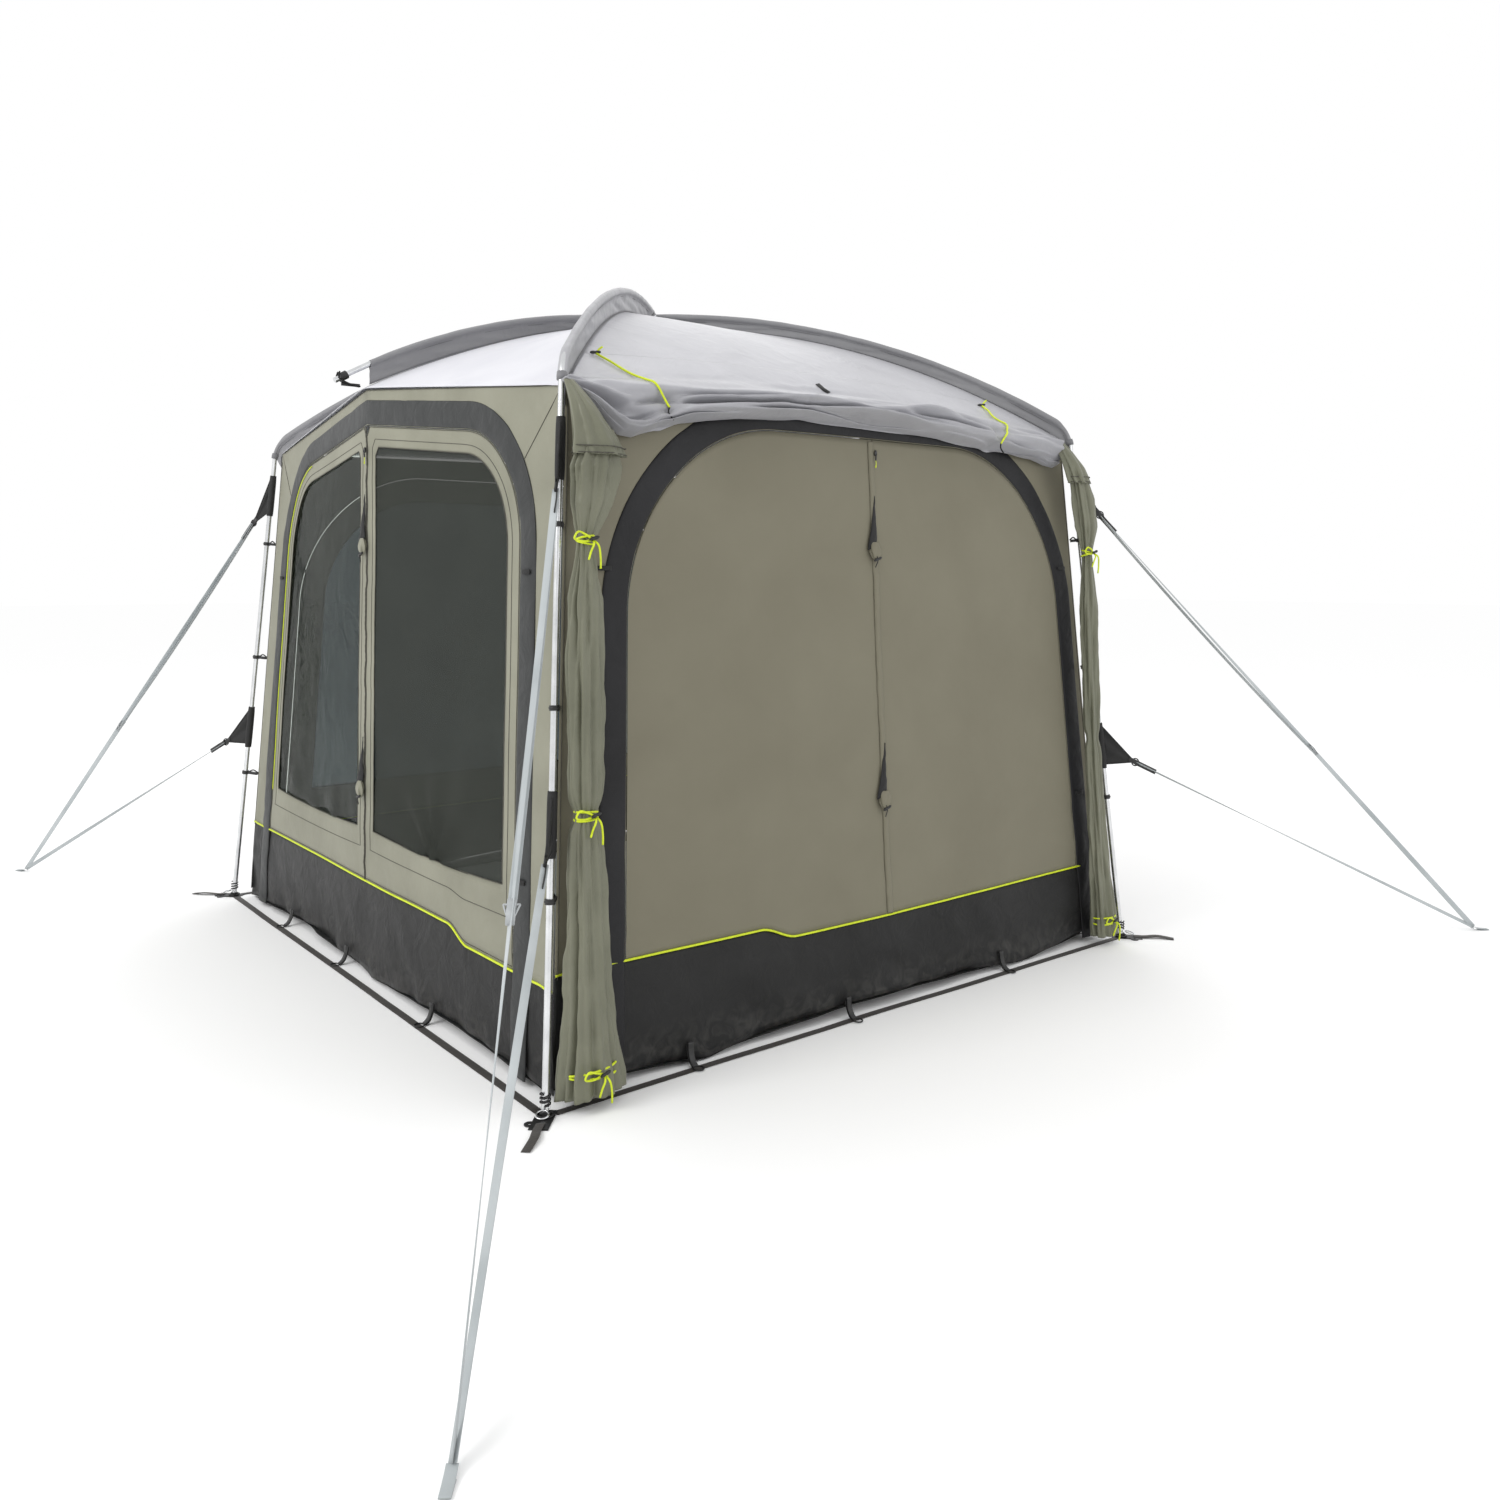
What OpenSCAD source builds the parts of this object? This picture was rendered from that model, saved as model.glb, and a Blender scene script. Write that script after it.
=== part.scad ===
// Screen house: a free-standing camping shelter, millimetres, +Z up.
// The origin is on the ground, midway between the four feet.
// The gable walls (front and back) face -Y and +Y, the side walls face +X and -X.

/* [Frame] */
// Half the distance between two feet along X
foot_x = 1350; // [1200:5:1500]
// Half the distance between two feet along Y
foot_y = 1223; // [1100:1:1350]
// How far a leg's top leans inwards along the diagonal, at eave height
leg_lean = 188; // [100:2:250]
// Outer diameter of the steel poles
pole_d = 19; // [16:0.5:25]
// Wall thickness of the hollow leg poles
pole_wall = 1.2; // [0.8:0.1:2]
// Radius of the bend between a leg and its roof pole
elbow_r = 130; // [100:5:180]
// Radius of the shallow arc of the two diagonal roof poles
roof_arc_r = 3000; // [2800:20:3400]
// Height of the upper diagonal roof pole's axis at the middle
upper_pole_z = 2424; // [2412:2:2436]
// Height of the lower diagonal roof pole's axis at the middle
lower_pole_z = 2398; // [2390:1:2400]
// Height of the ridge pole's axis at the middle
ridge_pole_z = 2376; // [2370:1:2378]
// Radius of the ridge pole's arc, from front to back
ridge_arc_r = 2460; // [2300:20:2700]

/* [Fabric] */
// Thickness of every cloth panel
cloth_t = 3; // [2:0.5:4]
// Height of the eave at the corners
eave_z = 1880; // [1820:5:1900]
// Height of a gable wall's peak, under the ridge pole's end
peak_z = 2000; // [1950:5:2040]
// Height of the roof cloth at the middle, under the crossing poles
crown_z = 2352; // [2330:2:2360]
// Height of the mud wall above the ground
mud_wall_z = 300; // [250:5:350]
// How much higher a mud wall is on one side of its step
mud_step = 40; // [0:5:60]
// Height of the lower edge of the mud walls above the ground
hem_z = 3; // [2:1:20]

/* [Doors] */
// Width of the dark band that frames each door
band_w = 85; // [60:5:110]
// Half the width of the gable door openings
gable_door_half = 1037; // [950:1:1060]
// Height of the gable door openings at the middle
gable_door_top = 1877; // [1800:1:1890]
// How steeply the gable doors' tops rise to the middle
gable_slope = 0.105; // [0:0.005:0.15]
// Half the width of the side door openings
side_door_half = 965; // [900:5:1000]
// Height of the side door openings
side_door_top = 1806; // [1750:2:1815]
// How far the side doors stand off the middle of their walls
side_door_shift = 45; // [0:5:60]
// Clearance between a door leaf and the wall round it
leaf_gap = 3; // [2:0.5:6]
// Width of the cloth border round a door window
border_w = 70; // [50:5:100]
// Height of the lower edge of the windows
window_sill = 500; // [450:10:600]

/* [Guy lines] */
// Width of the guy webbing
guy_d = 20; // [16:1:25]
// Height of the upper guy patches on the legs
upper_patch_z = 1700; // [1650:5:1720]
// Height of the lower guy patches on the legs
lower_patch_z = 720; // [650:5:760]

/* [Hidden] */
pole_r = pole_d / 2;
sleeve_in = pole_r + 0.8;
sleeve_out = sleeve_in + 2.5;
diagonal = norm([foot_x, foot_y]);
corner_angle = atan2(foot_y, foot_x);
lean = atan2(leg_lean, 1885);
// Azimuths of the four corners: near (+X -Y), right (+X +Y), far (-X +Y), left (-X -Y)
near_a = -corner_angle;
right_a = corner_angle;
far_a = 180 - corner_angle;
left_a = 180 + corner_angle;
CORNERS = [near_a, right_a, far_a, left_a];

// The cloth's vertical corners stand inside the legs, by these distances along the diagonal
corner_in_foot = 70;
corner_s_eave = 1600;
hem_s = diagonal - corner_in_foot;
hem_x = hem_s * cos(corner_angle);
hem_y = hem_s * sin(corner_angle);
eave_x = corner_s_eave * cos(corner_angle);
eave_y = corner_s_eave * sin(corner_angle);
gable_mid = 1166;
side_mid_foot = 1322;
side_mid_eave = 1212;
gable_ref = 1250;
side_ref = 1130;
side_eave_mid_z = eave_z + 20;
step_half = 22;
// How the roof cloth curves from the eave to the crown, along its corners and under the ridge pole
corner_bow = 2.1;
ridge_bow = 1.7;
gable_step_u = 700;
side_step_u = -400;

gable_top_r = 360;
side_top_r = 550;
seam_gap = 3;
seam_slit = 0.3;
elbow_sleeve_a = 12;
band_base = 12;
skin_gap = 1;
window_gap = 0.6;
blind_border = border_w + 40;
blind_sill = window_sill - 60;
zip_u = 1.5;
ARCH_STEPS = 14;
FOOT_T = 3;
STRAP_W = 25;
STRAP_T = 2;
EYE_R = 5;
eye_s = diagonal + 46;
eye_out = 28;
strap_end = 54;
tail_l = 120;
leg_start = 15;

// Guy lines: where each leaves its buckle, and the ground point where a corner's two lines meet
GUY_NEAR_PEG = [2335, -1925, 12];
GUY_RIGHT_PEG = [2140, 2360, 12];
GUY_FAR_PEG = [-2300, 2100, 12];
GUY_LEFT_PEG = [-2390, -1850, 12];
GUY_NEAR_UPPER = [[1300, -1165, 1585], GUY_NEAR_PEG];
GUY_NEAR_LOWER = [[1402, -1252, 648], GUY_NEAR_PEG];
GUY_RIGHT_UPPER = [[1284, 1191, 1590], GUY_RIGHT_PEG];
GUY_RIGHT_LOWER = [[1375, 1285, 654], GUY_RIGHT_PEG];
GUY_FAR_UPPER = [[-1296, 1176, 1587], GUY_FAR_PEG];
GUY_FAR_LOWER = [[-1395, 1265, 651], GUY_FAR_PEG];
GUY_LEFT_UPPER = [[-1304, -1160, 1584], GUY_LEFT_PEG];
GUY_LEFT_LOWER = [[-1408, -1244, 648], GUY_LEFT_PEG];
UPPER_GUYS = [GUY_NEAR_UPPER, GUY_RIGHT_UPPER, GUY_FAR_UPPER, GUY_LEFT_UPPER];
LOWER_GUYS = [GUY_NEAR_LOWER, GUY_RIGHT_LOWER, GUY_FAR_LOWER, GUY_LEFT_LOWER];
buckle_l = 26;
guy_ring_step = 50;
// Share of a line's length, from its buckle, at which its slider sits
slider_at = 0.56;
slider_l = 34;

OLIVE = [0.56, 0.55, 0.46];
CHARCOAL = [0.2, 0.2, 0.2];
LIGHT_GREY = [0.84, 0.84, 0.87];
MID_GREY = [0.6, 0.6, 0.62];
MESH_DARK = [0.3, 0.31, 0.3];
FILM = [0.75, 0.82, 0.84, 0.5];
TINTED = [0.4, 0.48, 0.53, 0.7];
STEEL = [0.78, 0.79, 0.8];
BLACK = [0.08, 0.08, 0.08];
WEBBING = [0.62, 0.65, 0.66];

// ---- plain functions ----
function lerp(a, b, t) = a + (b - a) * t;
function unit(v) = v / norm(v);
function backwards(v) = [for (i = [len(v) - 1:-1:0]) v[i]];
function turn(a, b) = a[0] * b[1] - a[1] * b[0];
function twice_area(p, i = 0) =
    i == len(p) ? 0 : turn(p[i], p[(i + 1) % len(p)]) + twice_area(p, i + 1);

// ---- cloth surface: u across the wall as seen from outside, z up, out of the wall ----
function corner_x(z) = lerp(hem_x, eave_x, z / eave_z);
function corner_y(z) = lerp(hem_y, eave_y, z / eave_z);
function side_mid(z) = lerp(side_mid_foot, side_mid_eave, z / eave_z);
function gable_pt(u, z, out) = let (w = u / gable_ref)
    [w * corner_x(z), -lerp(gable_mid, corner_y(z), abs(w)) - out, z];
function side_pt(u, z, out) = let (w = u / side_ref)
    [w * corner_y(z), -lerp(side_mid(z), corner_x(z), abs(w)) - out, z];
function wall_pt(gable, p, out) = gable ? gable_pt(p[0], p[1], out) : side_pt(p[0], p[1], out);
function half_ref(gable) = gable ? gable_ref : side_ref;
function seam_z(gable, u) = gable
    ? lerp(peak_z, eave_z, abs(u) / gable_ref)
    : lerp(side_eave_mid_z, eave_z, abs(u) / side_ref);

// Half of an arch in flat wall coordinates, from its foot (t = 0) to its middle (t = 1)
function arch_pt(half, top, slope, r, base, t) = let (
    tilt = atan(slope),
    cz = top - slope * (half - r) - r / cos(tilt),
    side_share = 0.35,
    arc_share = 0.75,
    a = (90 - tilt) * (t - side_share) / (arc_share - side_share),
    u = (half - r + r * cos(90 - tilt)) * (1 - (t - arc_share) / (1 - arc_share)))
    t <= side_share ? [half, lerp(base, cz, t / side_share)]
    : t <= arc_share ? [half - r + r * cos(a), cz + r * sin(a)]
    : [u, top - slope * u];
function door_arch(gable, grow, base, t) = gable
    ? arch_pt(gable_door_half + grow, gable_door_top + grow, gable_slope,
        gable_top_r + grow, base, t)
    : arch_pt(side_door_half + grow, side_door_top + grow, 0, side_top_r + grow, base, t);
function door_shift(gable) = gable ? 0 : side_door_shift;
function arch_run(gable, side, grow, base, t0, t1) =
    [for (i = [0:ARCH_STEPS]) let (p = door_arch(gable, grow, base, lerp(t0, t1, i / ARCH_STEPS)))
        [side * p[0] + door_shift(gable), p[1]]];
// The wall's own outline beside the arch: up the corner, then along the seam under the roof
function outline_run(gable, side, base, t0, t1) = let (half = half_ref(gable) - 2, turn_t = 0.55)
    [for (i = [0:ARCH_STEPS]) let (t = lerp(t0, t1, i / ARCH_STEPS),
        u = half * min(1, (1 - t) / (1 - turn_t)))
        t <= turn_t ? [side * half, lerp(base, seam_z(gable, half) - 4, t / turn_t)]
        : [side * u + door_shift(gable) * (t - turn_t) / (1 - turn_t),
            seam_z(gable, u) - 4]];

// ---- cloth solids ----
// Faces between stations i and j of a cloth band with n stations; both skins share diagonals
function band_faces(i, j, n) = [
    [n + i, n + j, j], [n + i, j, i],
    [2 * n + i, 2 * n + j, 3 * n + i], [2 * n + j, 3 * n + j, 3 * n + i],
    [i, j, 2 * n + j, 2 * n + i], [n + j, n + i, 3 * n + i, 3 * n + j]];

module strip_plate(gable, a0, b0, out = 0, t = cloth_t) {
    flip = twice_area(concat(a0, backwards(b0))) < 0;
    a = flip ? b0 : a0;
    b = flip ? a0 : b0;
    n = len(a);
    pts = concat([for (p = a) wall_pt(gable, p, out + t)], [for (p = b) wall_pt(gable, p, out + t)],
        [for (p = a) wall_pt(gable, p, out)], [for (p = b) wall_pt(gable, p, out)]);
    polyhedron(pts, concat([for (i = [0:n - 2]) each band_faces(i, i + 1, n)],
        [[n, 0, 2 * n, 3 * n], [n - 1, 2 * n - 1, 4 * n - 1, 3 * n - 1]]), convexity = 4);
}

module ring_plate(gable, outer0, inner0, out = 0, t = cloth_t) {
    flip = twice_area(outer0) < 0;
    a = flip ? backwards(outer0) : outer0;
    b = flip ? backwards(inner0) : inner0;
    n = len(a);
    pts = concat([for (p = a) wall_pt(gable, p, out + t)], [for (p = b) wall_pt(gable, p, out + t)],
        [for (p = a) wall_pt(gable, p, out)], [for (p = b) wall_pt(gable, p, out)]);
    polyhedron(pts, [for (i = [0:n - 1]) each band_faces(i, (i + 1) % n, n)], convexity = 4);
}

module fan_plate(gable, loop0, hub, out = 0, t = cloth_t) {
    a = twice_area(loop0) < 0 ? backwards(loop0) : loop0;
    n = len(a);
    pts = concat([for (p = a) wall_pt(gable, p, out + t)], [wall_pt(gable, hub, out + t)],
        [for (p = a) wall_pt(gable, p, out)], [wall_pt(gable, hub, out)]);
    polyhedron(pts, [for (i = [0:n - 1]) let (j = (i + 1) % n)
        each [[j, i, n], [n + 1 + i, n + 1 + j, 2 * n + 1], [i, j, n + 1 + j, n + 1 + i]]],
        convexity = 4);
}

// Rows of points from the eave to the crown, as a cloth of thickness t below them
module cloth_grid(rows, t = cloth_t) {
    n = len(rows);
    m = len(rows[0]);
    top = [for (r = rows) each r];
    pts = concat(top, [for (p = top) p - [0, 0, t]]);
    k = n * m;
    polyhedron(pts, concat(
        [for (i = [0:n - 2], j = [0:m - 2]) let (q = i * m + j)
            each [[q + m, q + m + 1, q], [q + m + 1, q + 1, q]]],
        [for (i = [0:n - 2], j = [0:m - 2]) let (q = k + i * m + j)
            each [[q, q + m + 1, q + m], [q, q + 1, q + m + 1]]],
        [for (j = [0:m - 2]) [j, j + 1, k + j + 1, k + j]],
        [for (j = [0:m - 2]) let (q = (n - 1) * m + j) [q + 1, q, k + q, k + q + 1]],
        [for (i = [0:n - 2]) let (q = i * m) [q + m, q, k + q, k + q + m]],
        [for (i = [0:n - 2]) let (q = i * m + m - 1) [q, q + m, k + q + m, k + q]]),
        convexity = 4);
}

// A round tube through the points, with its own radius at each
module swept_tube(points, radii, sides = 8) {
    n = len(points);
    pts = [for (i = [0:n - 1]) let (
        d = unit(points[min(i + 1, n - 1)] - points[max(i - 1, 0)]),
        x = unit(cross(d, abs(d[2]) > 0.95 ? [1, 0, 0] : [0, 0, 1])), y = cross(d, x))
        for (k = [0:sides - 1]) points[i] + radii[i] * (x * cos(360 * k / sides)
            + y * sin(360 * k / sides))];
    polyhedron(pts, concat(
        [for (i = [0:n - 2], k = [0:sides - 1]) let (q = i * sides, j = (k + 1) % sides)
            each [[q + k, q + j, q + sides + j], [q + k, q + sides + j, q + sides + k]]],
        [[for (k = [sides - 1:-1:0]) k]],
        [[for (k = [0:sides - 1]) (n - 1) * sides + k]]), convexity = 2);
}

// A flat triangle of cloth
module tri_plate(a, b, c, t = cloth_t) {
    h = unit(cross(b - a, c - a)) * t / 2;
    polyhedron([a + h, b + h, c + h, a - h, b - h, c - h],
        [[2, 1, 0], [3, 4, 5], [0, 1, 4, 3], [1, 2, 5, 4], [2, 0, 3, 5]]);
}

// ---- frame: each diagonal pole lies in its own upright plane, s from the middle outwards ----
// Leg line through the foot, and the circle of the roof arc, joined by the elbow's circle
function elbow_t(top_z, r) = let (
    px = diagonal - elbow_r * cos(lean),
    pz = -elbow_r * sin(lean) - (top_z - r),
    b = 2 * (-px * sin(lean) + pz * cos(lean)),
    c = px * px + pz * pz - (r - elbow_r) * (r - elbow_r))
    (-b + sqrt(b * b - 4 * c)) / 2;
function elbow_c(top_z) = let (t = elbow_t(top_z, roof_arc_r))
    [diagonal - elbow_r * cos(lean) - t * sin(lean), -elbow_r * sin(lean) + t * cos(lean)];
function elbow_top_a(top_z) = let (c = elbow_c(top_z)) atan2(c[1] - top_z + roof_arc_r, c[0]);
function leg_end(top_z) = elbow_t(top_z, roof_arc_r);
function leg_s(z) = diagonal - z * tan(lean);
function roof_z(s) = crown_z - (crown_z - eave_z) * pow(s / corner_s_eave, corner_bow);
function arc_z(s, top_z, r) = top_z - r + sqrt(r * r - s * s);

module on_corner(a) {
    rotate([0, 0, a]) translate([diagonal, 0, 0]) children();
}

module on_leg(a, z) {
    on_corner(a) rotate([0, -lean, 0]) translate([0, 0, z / cos(lean)]) children();
}

// Part of a ring standing in the plane of s and z, about the centre c
module upright_arc(c, r, a0, a1, out_r, in_r = 0) {
    translate([c[0], 0, c[1]]) rotate([90, 0, 0]) rotate([0, 0, a0])
        rotate_extrude(angle = a1 - a0, $fn = 360) translate([r, 0]) difference() {
            circle(r = out_r, $fn = 32);
            if (in_r > 0) circle(r = in_r, $fn = 32);
        }
}

module leg(a, top_z) {
    on_corner(a) rotate([0, -lean, 0]) translate([0, 0, leg_start]) difference() {
        cylinder(h = leg_end(top_z) - leg_start - 0.5, r = pole_r, $fn = 48);
        translate([0, 0, -1]) cylinder(h = 80, r = pole_r - pole_wall, $fn = 48);
    }
}

module roof_pole(a, top_z) {
    top_a = elbow_top_a(top_z);
    rotate([0, 0, a]) upright_arc([0, top_z - roof_arc_r], roof_arc_r, top_a, 180 - top_a, pole_r);
    for (half = [0, 180])
        rotate([0, 0, a + half]) upright_arc(elbow_c(top_z), elbow_r, lean, top_a, pole_r);
}

// Outline of the upright web between a pole sleeve and the roof cloth
function web(s0, s1, top_z, r, cloth_z) = let (n = 16, gap = sleeve_out + seam_slit) concat(
    [for (i = [0:n]) let (s = lerp(s0, s1, i / n)) [s, arc_z(s, top_z - gap, r - gap)]],
    [for (i = [n:-1:0]) let (s = lerp(s0, s1, i / n)) [s, cloth_z[i]]]);

module upright_plate(outline, t) {
    rotate([90, 0, 0]) translate([0, 0, -t / 2]) linear_extrude(t) polygon(outline);
}

// A sleeve on a diagonal pole: along the roof arc, round both elbows, with a web down to the roof
module diagonal_sleeve(a, top_z, open_s, over) {
    n = 16;
    top_a = elbow_top_a(top_z);
    c = [0, top_z - roof_arc_r];
    s1 = elbow_c(top_z)[0] + 20;
    if (over)
        rotate([0, 0, a]) upright_arc(c, roof_arc_r, top_a, 180 - top_a, sleeve_out, sleeve_in);
    for (half = [0, 180]) rotate([0, 0, a + half]) {
        if (!over)
            upright_arc(c, roof_arc_r, top_a, acos(open_s / roof_arc_r), sleeve_out, sleeve_in);
        upright_arc(elbow_c(top_z), elbow_r, elbow_sleeve_a, top_a - 0.15, sleeve_out, sleeve_in);
        upright_plate(web(open_s, s1, top_z, roof_arc_r,
            [for (i = [0:n]) roof_z(lerp(open_s, s1, i / n)) - cloth_t]), cloth_t - 1);
    }
}

// ---- walls, drawn as the front wall and turned to their own side ----
// The top of a mud wall: level, with one smooth step down
function step_u(gable) = gable ? gable_step_u : side_step_u;
function mud_top(gable, u) = let (x = max(-1, min(1, (u - step_u(gable)) / (3 * step_half))))
    mud_wall_z - mud_step * x * (3 - x * x) / 4;
function above_mud(gable, u) = mud_top(gable, u) + seam_gap;

module wall_posts(gable) {
    for (side = [-1, 1]) {
        base = above_mud(gable, side * half_ref(gable));
        strip_plate(gable, outline_run(gable, side, base, 0, 0.5),
            arch_run(gable, side, 0, base, 0, 0.5));
        strip_plate(gable, outline_run(gable, side, base, 0.502, 0.999),
            arch_run(gable, side, 0, base, 0.502, 0.999));
    }
}

module mud_wall(gable) {
    half = half_ref(gable) - 2;
    from = step_u(gable) - 3 * step_half;
    to = step_u(gable) + 3 * step_half;
    before = ceil((from + half) / 200);
    after = ceil((half - to) / 200);
    steps = concat([for (i = [0:before - 1]) lerp(-half, from, i / before)],
        [for (i = [-3:3]) step_u(gable) + i * step_half],
        [for (i = [1:after]) lerp(to, half, i / after)]);
    strip_plate(gable, [for (u = steps) [u, hem_z]], [for (u = steps) [u, mud_top(gable, u)]]);
}

module door_band(gable) {
    for (side = [-1, 1])
        strip_plate(gable, arch_run(gable, side, band_w, band_base, 0, 0.999),
            arch_run(gable, side, 4, band_base, 0, 0.999), out = cloth_t + skin_gap, t = 2);
}

// Stations along a leaf's lower edge, from its zip edge (0) to its hinge edge (1), close at the step
function step_share(gable, side) =
    (side * (step_u(gable) - door_shift(gable))) / (gable ? gable_door_half : side_door_half);
function base_shares(gable, side) = let (c = step_share(gable, side), h = 3 * step_half / 1000)
    c > 0.1 && c < 0.9 ? [c / 2, c - h, c - h / 3, c + h / 3, c + h, (c + 1) / 2]
    : [for (i = [1:6]) i / 7];

// Outline of one door leaf: up the hinge edge, over the arch, down the zip edge, along the base
function leaf_loop(gable, side, inset, sill = 0) = let (
    hinge_u = (gable ? gable_door_half : side_door_half) - leaf_gap - inset,
    w = zip_u + inset,
    shift = door_shift(gable),
    shares = base_shares(gable, side),
    base_us = [for (f = shares) side * lerp(w, hinge_u, f) + shift],
    zip_base = sill > 0 ? sill : above_mud(gable, side * w + shift),
    hinge_base = sill > 0 ? sill : above_mud(gable, side * hinge_u + shift))
    concat(
        [for (i = [0:ARCH_STEPS])
            let (p = door_arch(gable, -leaf_gap - inset, hinge_base, i / ARCH_STEPS * 0.93))
            [side * p[0] + shift, p[1]]],
        [for (i = [0:6]) let (p = door_arch(gable, -leaf_gap - inset, hinge_base, 1))
            [side * w + shift, lerp(p[1] - (gable ? gable_slope * w : 0), zip_base, i / 6)]],
        [for (u = base_us) [u, sill > 0 ? sill : above_mud(gable, u)]]);
function leaf_hub(gable, side) = [side * half_ref(gable) * 0.4 + door_shift(gable), 1150];
function window_loop(side, inset) = leaf_loop(true, side, border_w + inset, window_sill + inset);

module window_leaf(side) {
    ring_plate(true, leaf_loop(true, side, 0), window_loop(side, 0));
}

module window_pane(side) {
    fan_plate(true, window_loop(side, window_gap), leaf_hub(true, side), out = 0.5, t = cloth_t - 1);
}

module plain_leaf(side) {
    fan_plate(false, leaf_loop(false, side, 0), leaf_hub(false, side));
}

// The blind wall's window: one wide arch, clear of its frame
function blind_loop(inset, base) = concat(
    [for (i = [0:ARCH_STEPS]) let (p = door_arch(false, -inset, base, i / ARCH_STEPS)) p],
    [for (i = [ARCH_STEPS - 1:-1:0]) let (p = door_arch(false, -inset, base, i / ARCH_STEPS))
        [-p[0], p[1]]]);

// ---- roof panels: rows from the eave to the crown ----
function corner_dir(gable, side) = gable
    ? [side * cos(corner_angle), -sin(corner_angle)]
    : [side * sin(corner_angle), -cos(corner_angle)];
function panel_in(gable, side) = gable
    ? [-side * sin(corner_angle), -cos(corner_angle)]
    : [-side * cos(corner_angle), -sin(corner_angle)];
function corner_row_pt(gable, side, t) = let (
    s = lerp(corner_s_eave + 8, 6, t),
    p = corner_dir(gable, side) * s + panel_in(gable, side) * 2)
    [p[0], p[1], roof_z(s)];
function ridge_row_pt(t) = let (y = lerp(gable_mid + 14, 6, t))
    [0, -y, lerp(peak_z + 4, crown_z, 1 - pow(1 - t, ridge_bow))];
function side_mid_row_pt(t) = let (p = corner_row_pt(false, 1, t))
    [0, p[1] - 24 * (1 - t), p[2] + 30 * (1 - t)];

module gable_roof_half(side) {
    rows = [for (i = [0:10]) let (t = i / 10, c = corner_row_pt(true, side, t),
        m = ridge_row_pt(t) + [side * 2, 0, 0])
        [for (j = [0:6]) side > 0 ? lerp(m, c, j / 6) : lerp(c, m, j / 6)]];
    cloth_grid(rows);
}

module side_roof() {
    rows = [for (i = [0:10]) let (t = i / 10, a = corner_row_pt(false, -1, t),
        b = corner_row_pt(false, 1, t), m = side_mid_row_pt(t))
        concat([for (j = [0:3]) lerp(a, m, j / 4)], [for (j = [0:4]) lerp(m, b, j / 4)])];
    cloth_grid(rows);
}

// ---- small parts ----
// A foot's plate carries its peg eye on one side, clear of the guy lines above it
module foot_fitting(a, eye_side) {
    on_corner(a) {
        difference() {
            union() {
                translate([-35, -25, 0]) cube([110, 50, FOOT_T]);
                translate([eye_s - diagonal, eye_side * eye_out, 0]) cylinder(h = FOOT_T, r = 14, $fn = 48);
            }
            translate([eye_s - diagonal, eye_side * eye_out, -1])
                cylinder(h = FOOT_T + 2, r = EYE_R, $fn = 32);
        }
        rotate([0, -lean, 0]) {
            translate([0, 0, 1.5]) cylinder(h = leg_start - 2.3, r = 14, $fn = 32);
            translate([0, 0, 5]) cylinder(h = 70, r = pole_r - pole_wall - 0.6, $fn = 32);
        }
    }
    on_corner(a) translate([0, 0, FOOT_T + 3.4]) rotate_extrude($fn = 48) translate([20, 0])
        circle(r = 3, $fn = 24);
}

module ground_strap(from, to) {
    d = unit(to - from);
    translate([from[0] + d[0] * strap_end, from[1] + d[1] * strap_end, 0])
        rotate([0, 0, atan2(d[1], d[0])]) translate([0, -STRAP_W / 2, 0])
            cube([norm(to - from) - 2 * strap_end, STRAP_W, STRAP_T]);
}

// A hook clip: a plastic ring round the leg and a tab that reaches in to the cloth
module leg_clip(a, z) {
    on_leg(a, z) {
        difference() {
            cylinder(h = 14, r = sleeve_out + 1, $fn = 32);
            translate([0, 0, -1]) cylinder(h = 16, r = sleeve_in, $fn = 32);
        }
        reach = leg_s(z) - lerp(hem_s, corner_s_eave, z / eave_z) - sleeve_in - 6;
        translate([-sleeve_in - reach, -7, 2]) cube([reach, 14, 10]);
    }
}

// The elastic tie from the ridge pole's end down to the gable's peak
module ridge_tie() {
    tip_a = acos((gable_mid + 92) / ridge_arc_r);
    upright_arc([0, ridge_pole_z - ridge_arc_r], ridge_arc_r, tip_a, tip_a + 0.6, pole_r + 5,
        pole_r + 0.6);
    translate([gable_mid + 24, -2, peak_z + 4]) cube([64, 4, 10.5]);
}

function guy_dir(route) = unit(route[1] - route[0]);
function patch_pole_pt(a, z) = [leg_s(z) * cos(a), leg_s(z) * sin(a), z];

module guy_patch(a, z, route) {
    on_leg(a, z - 75) difference() {
        cylinder(h = 150, r = sleeve_out, $fn = 32);
        translate([0, 0, -1]) cylinder(h = 152, r = sleeve_in, $fn = 32);
    }
    d = guy_dir(route);
    flat = unit([d[0], d[1], 0]) * (sleeve_in + 1.4);
    tri_plate(patch_pole_pt(a, z + 70) + flat, patch_pole_pt(a, z - 70) + flat,
        route[0] - d * (buckle_l + 1), cloth_t);
}

module along(route, share) {
    d = guy_dir(route);
    p = lerp(route[0], route[1], share);
    translate(p) rotate([0, acos(d[2]), atan2(d[1], d[0])]) children();
}

module guy_buckle(route) {
    along(route, 0) translate([-5, -15, -buckle_l]) difference() {
        cube([10, 30, buckle_l - 0.5]);
        translate([-1, 5, 8]) cube([12, 20, 9]);
    }
}

module guy_line(route) {
    l = norm(route[1] - route[0]);
    n = ceil(l / guy_ring_step);
    color(WEBBING) swept_tube([for (i = [0:n]) lerp(route[0], route[1], i / n)],
        [for (i = [0:n]) guy_d / 2]);
}

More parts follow.
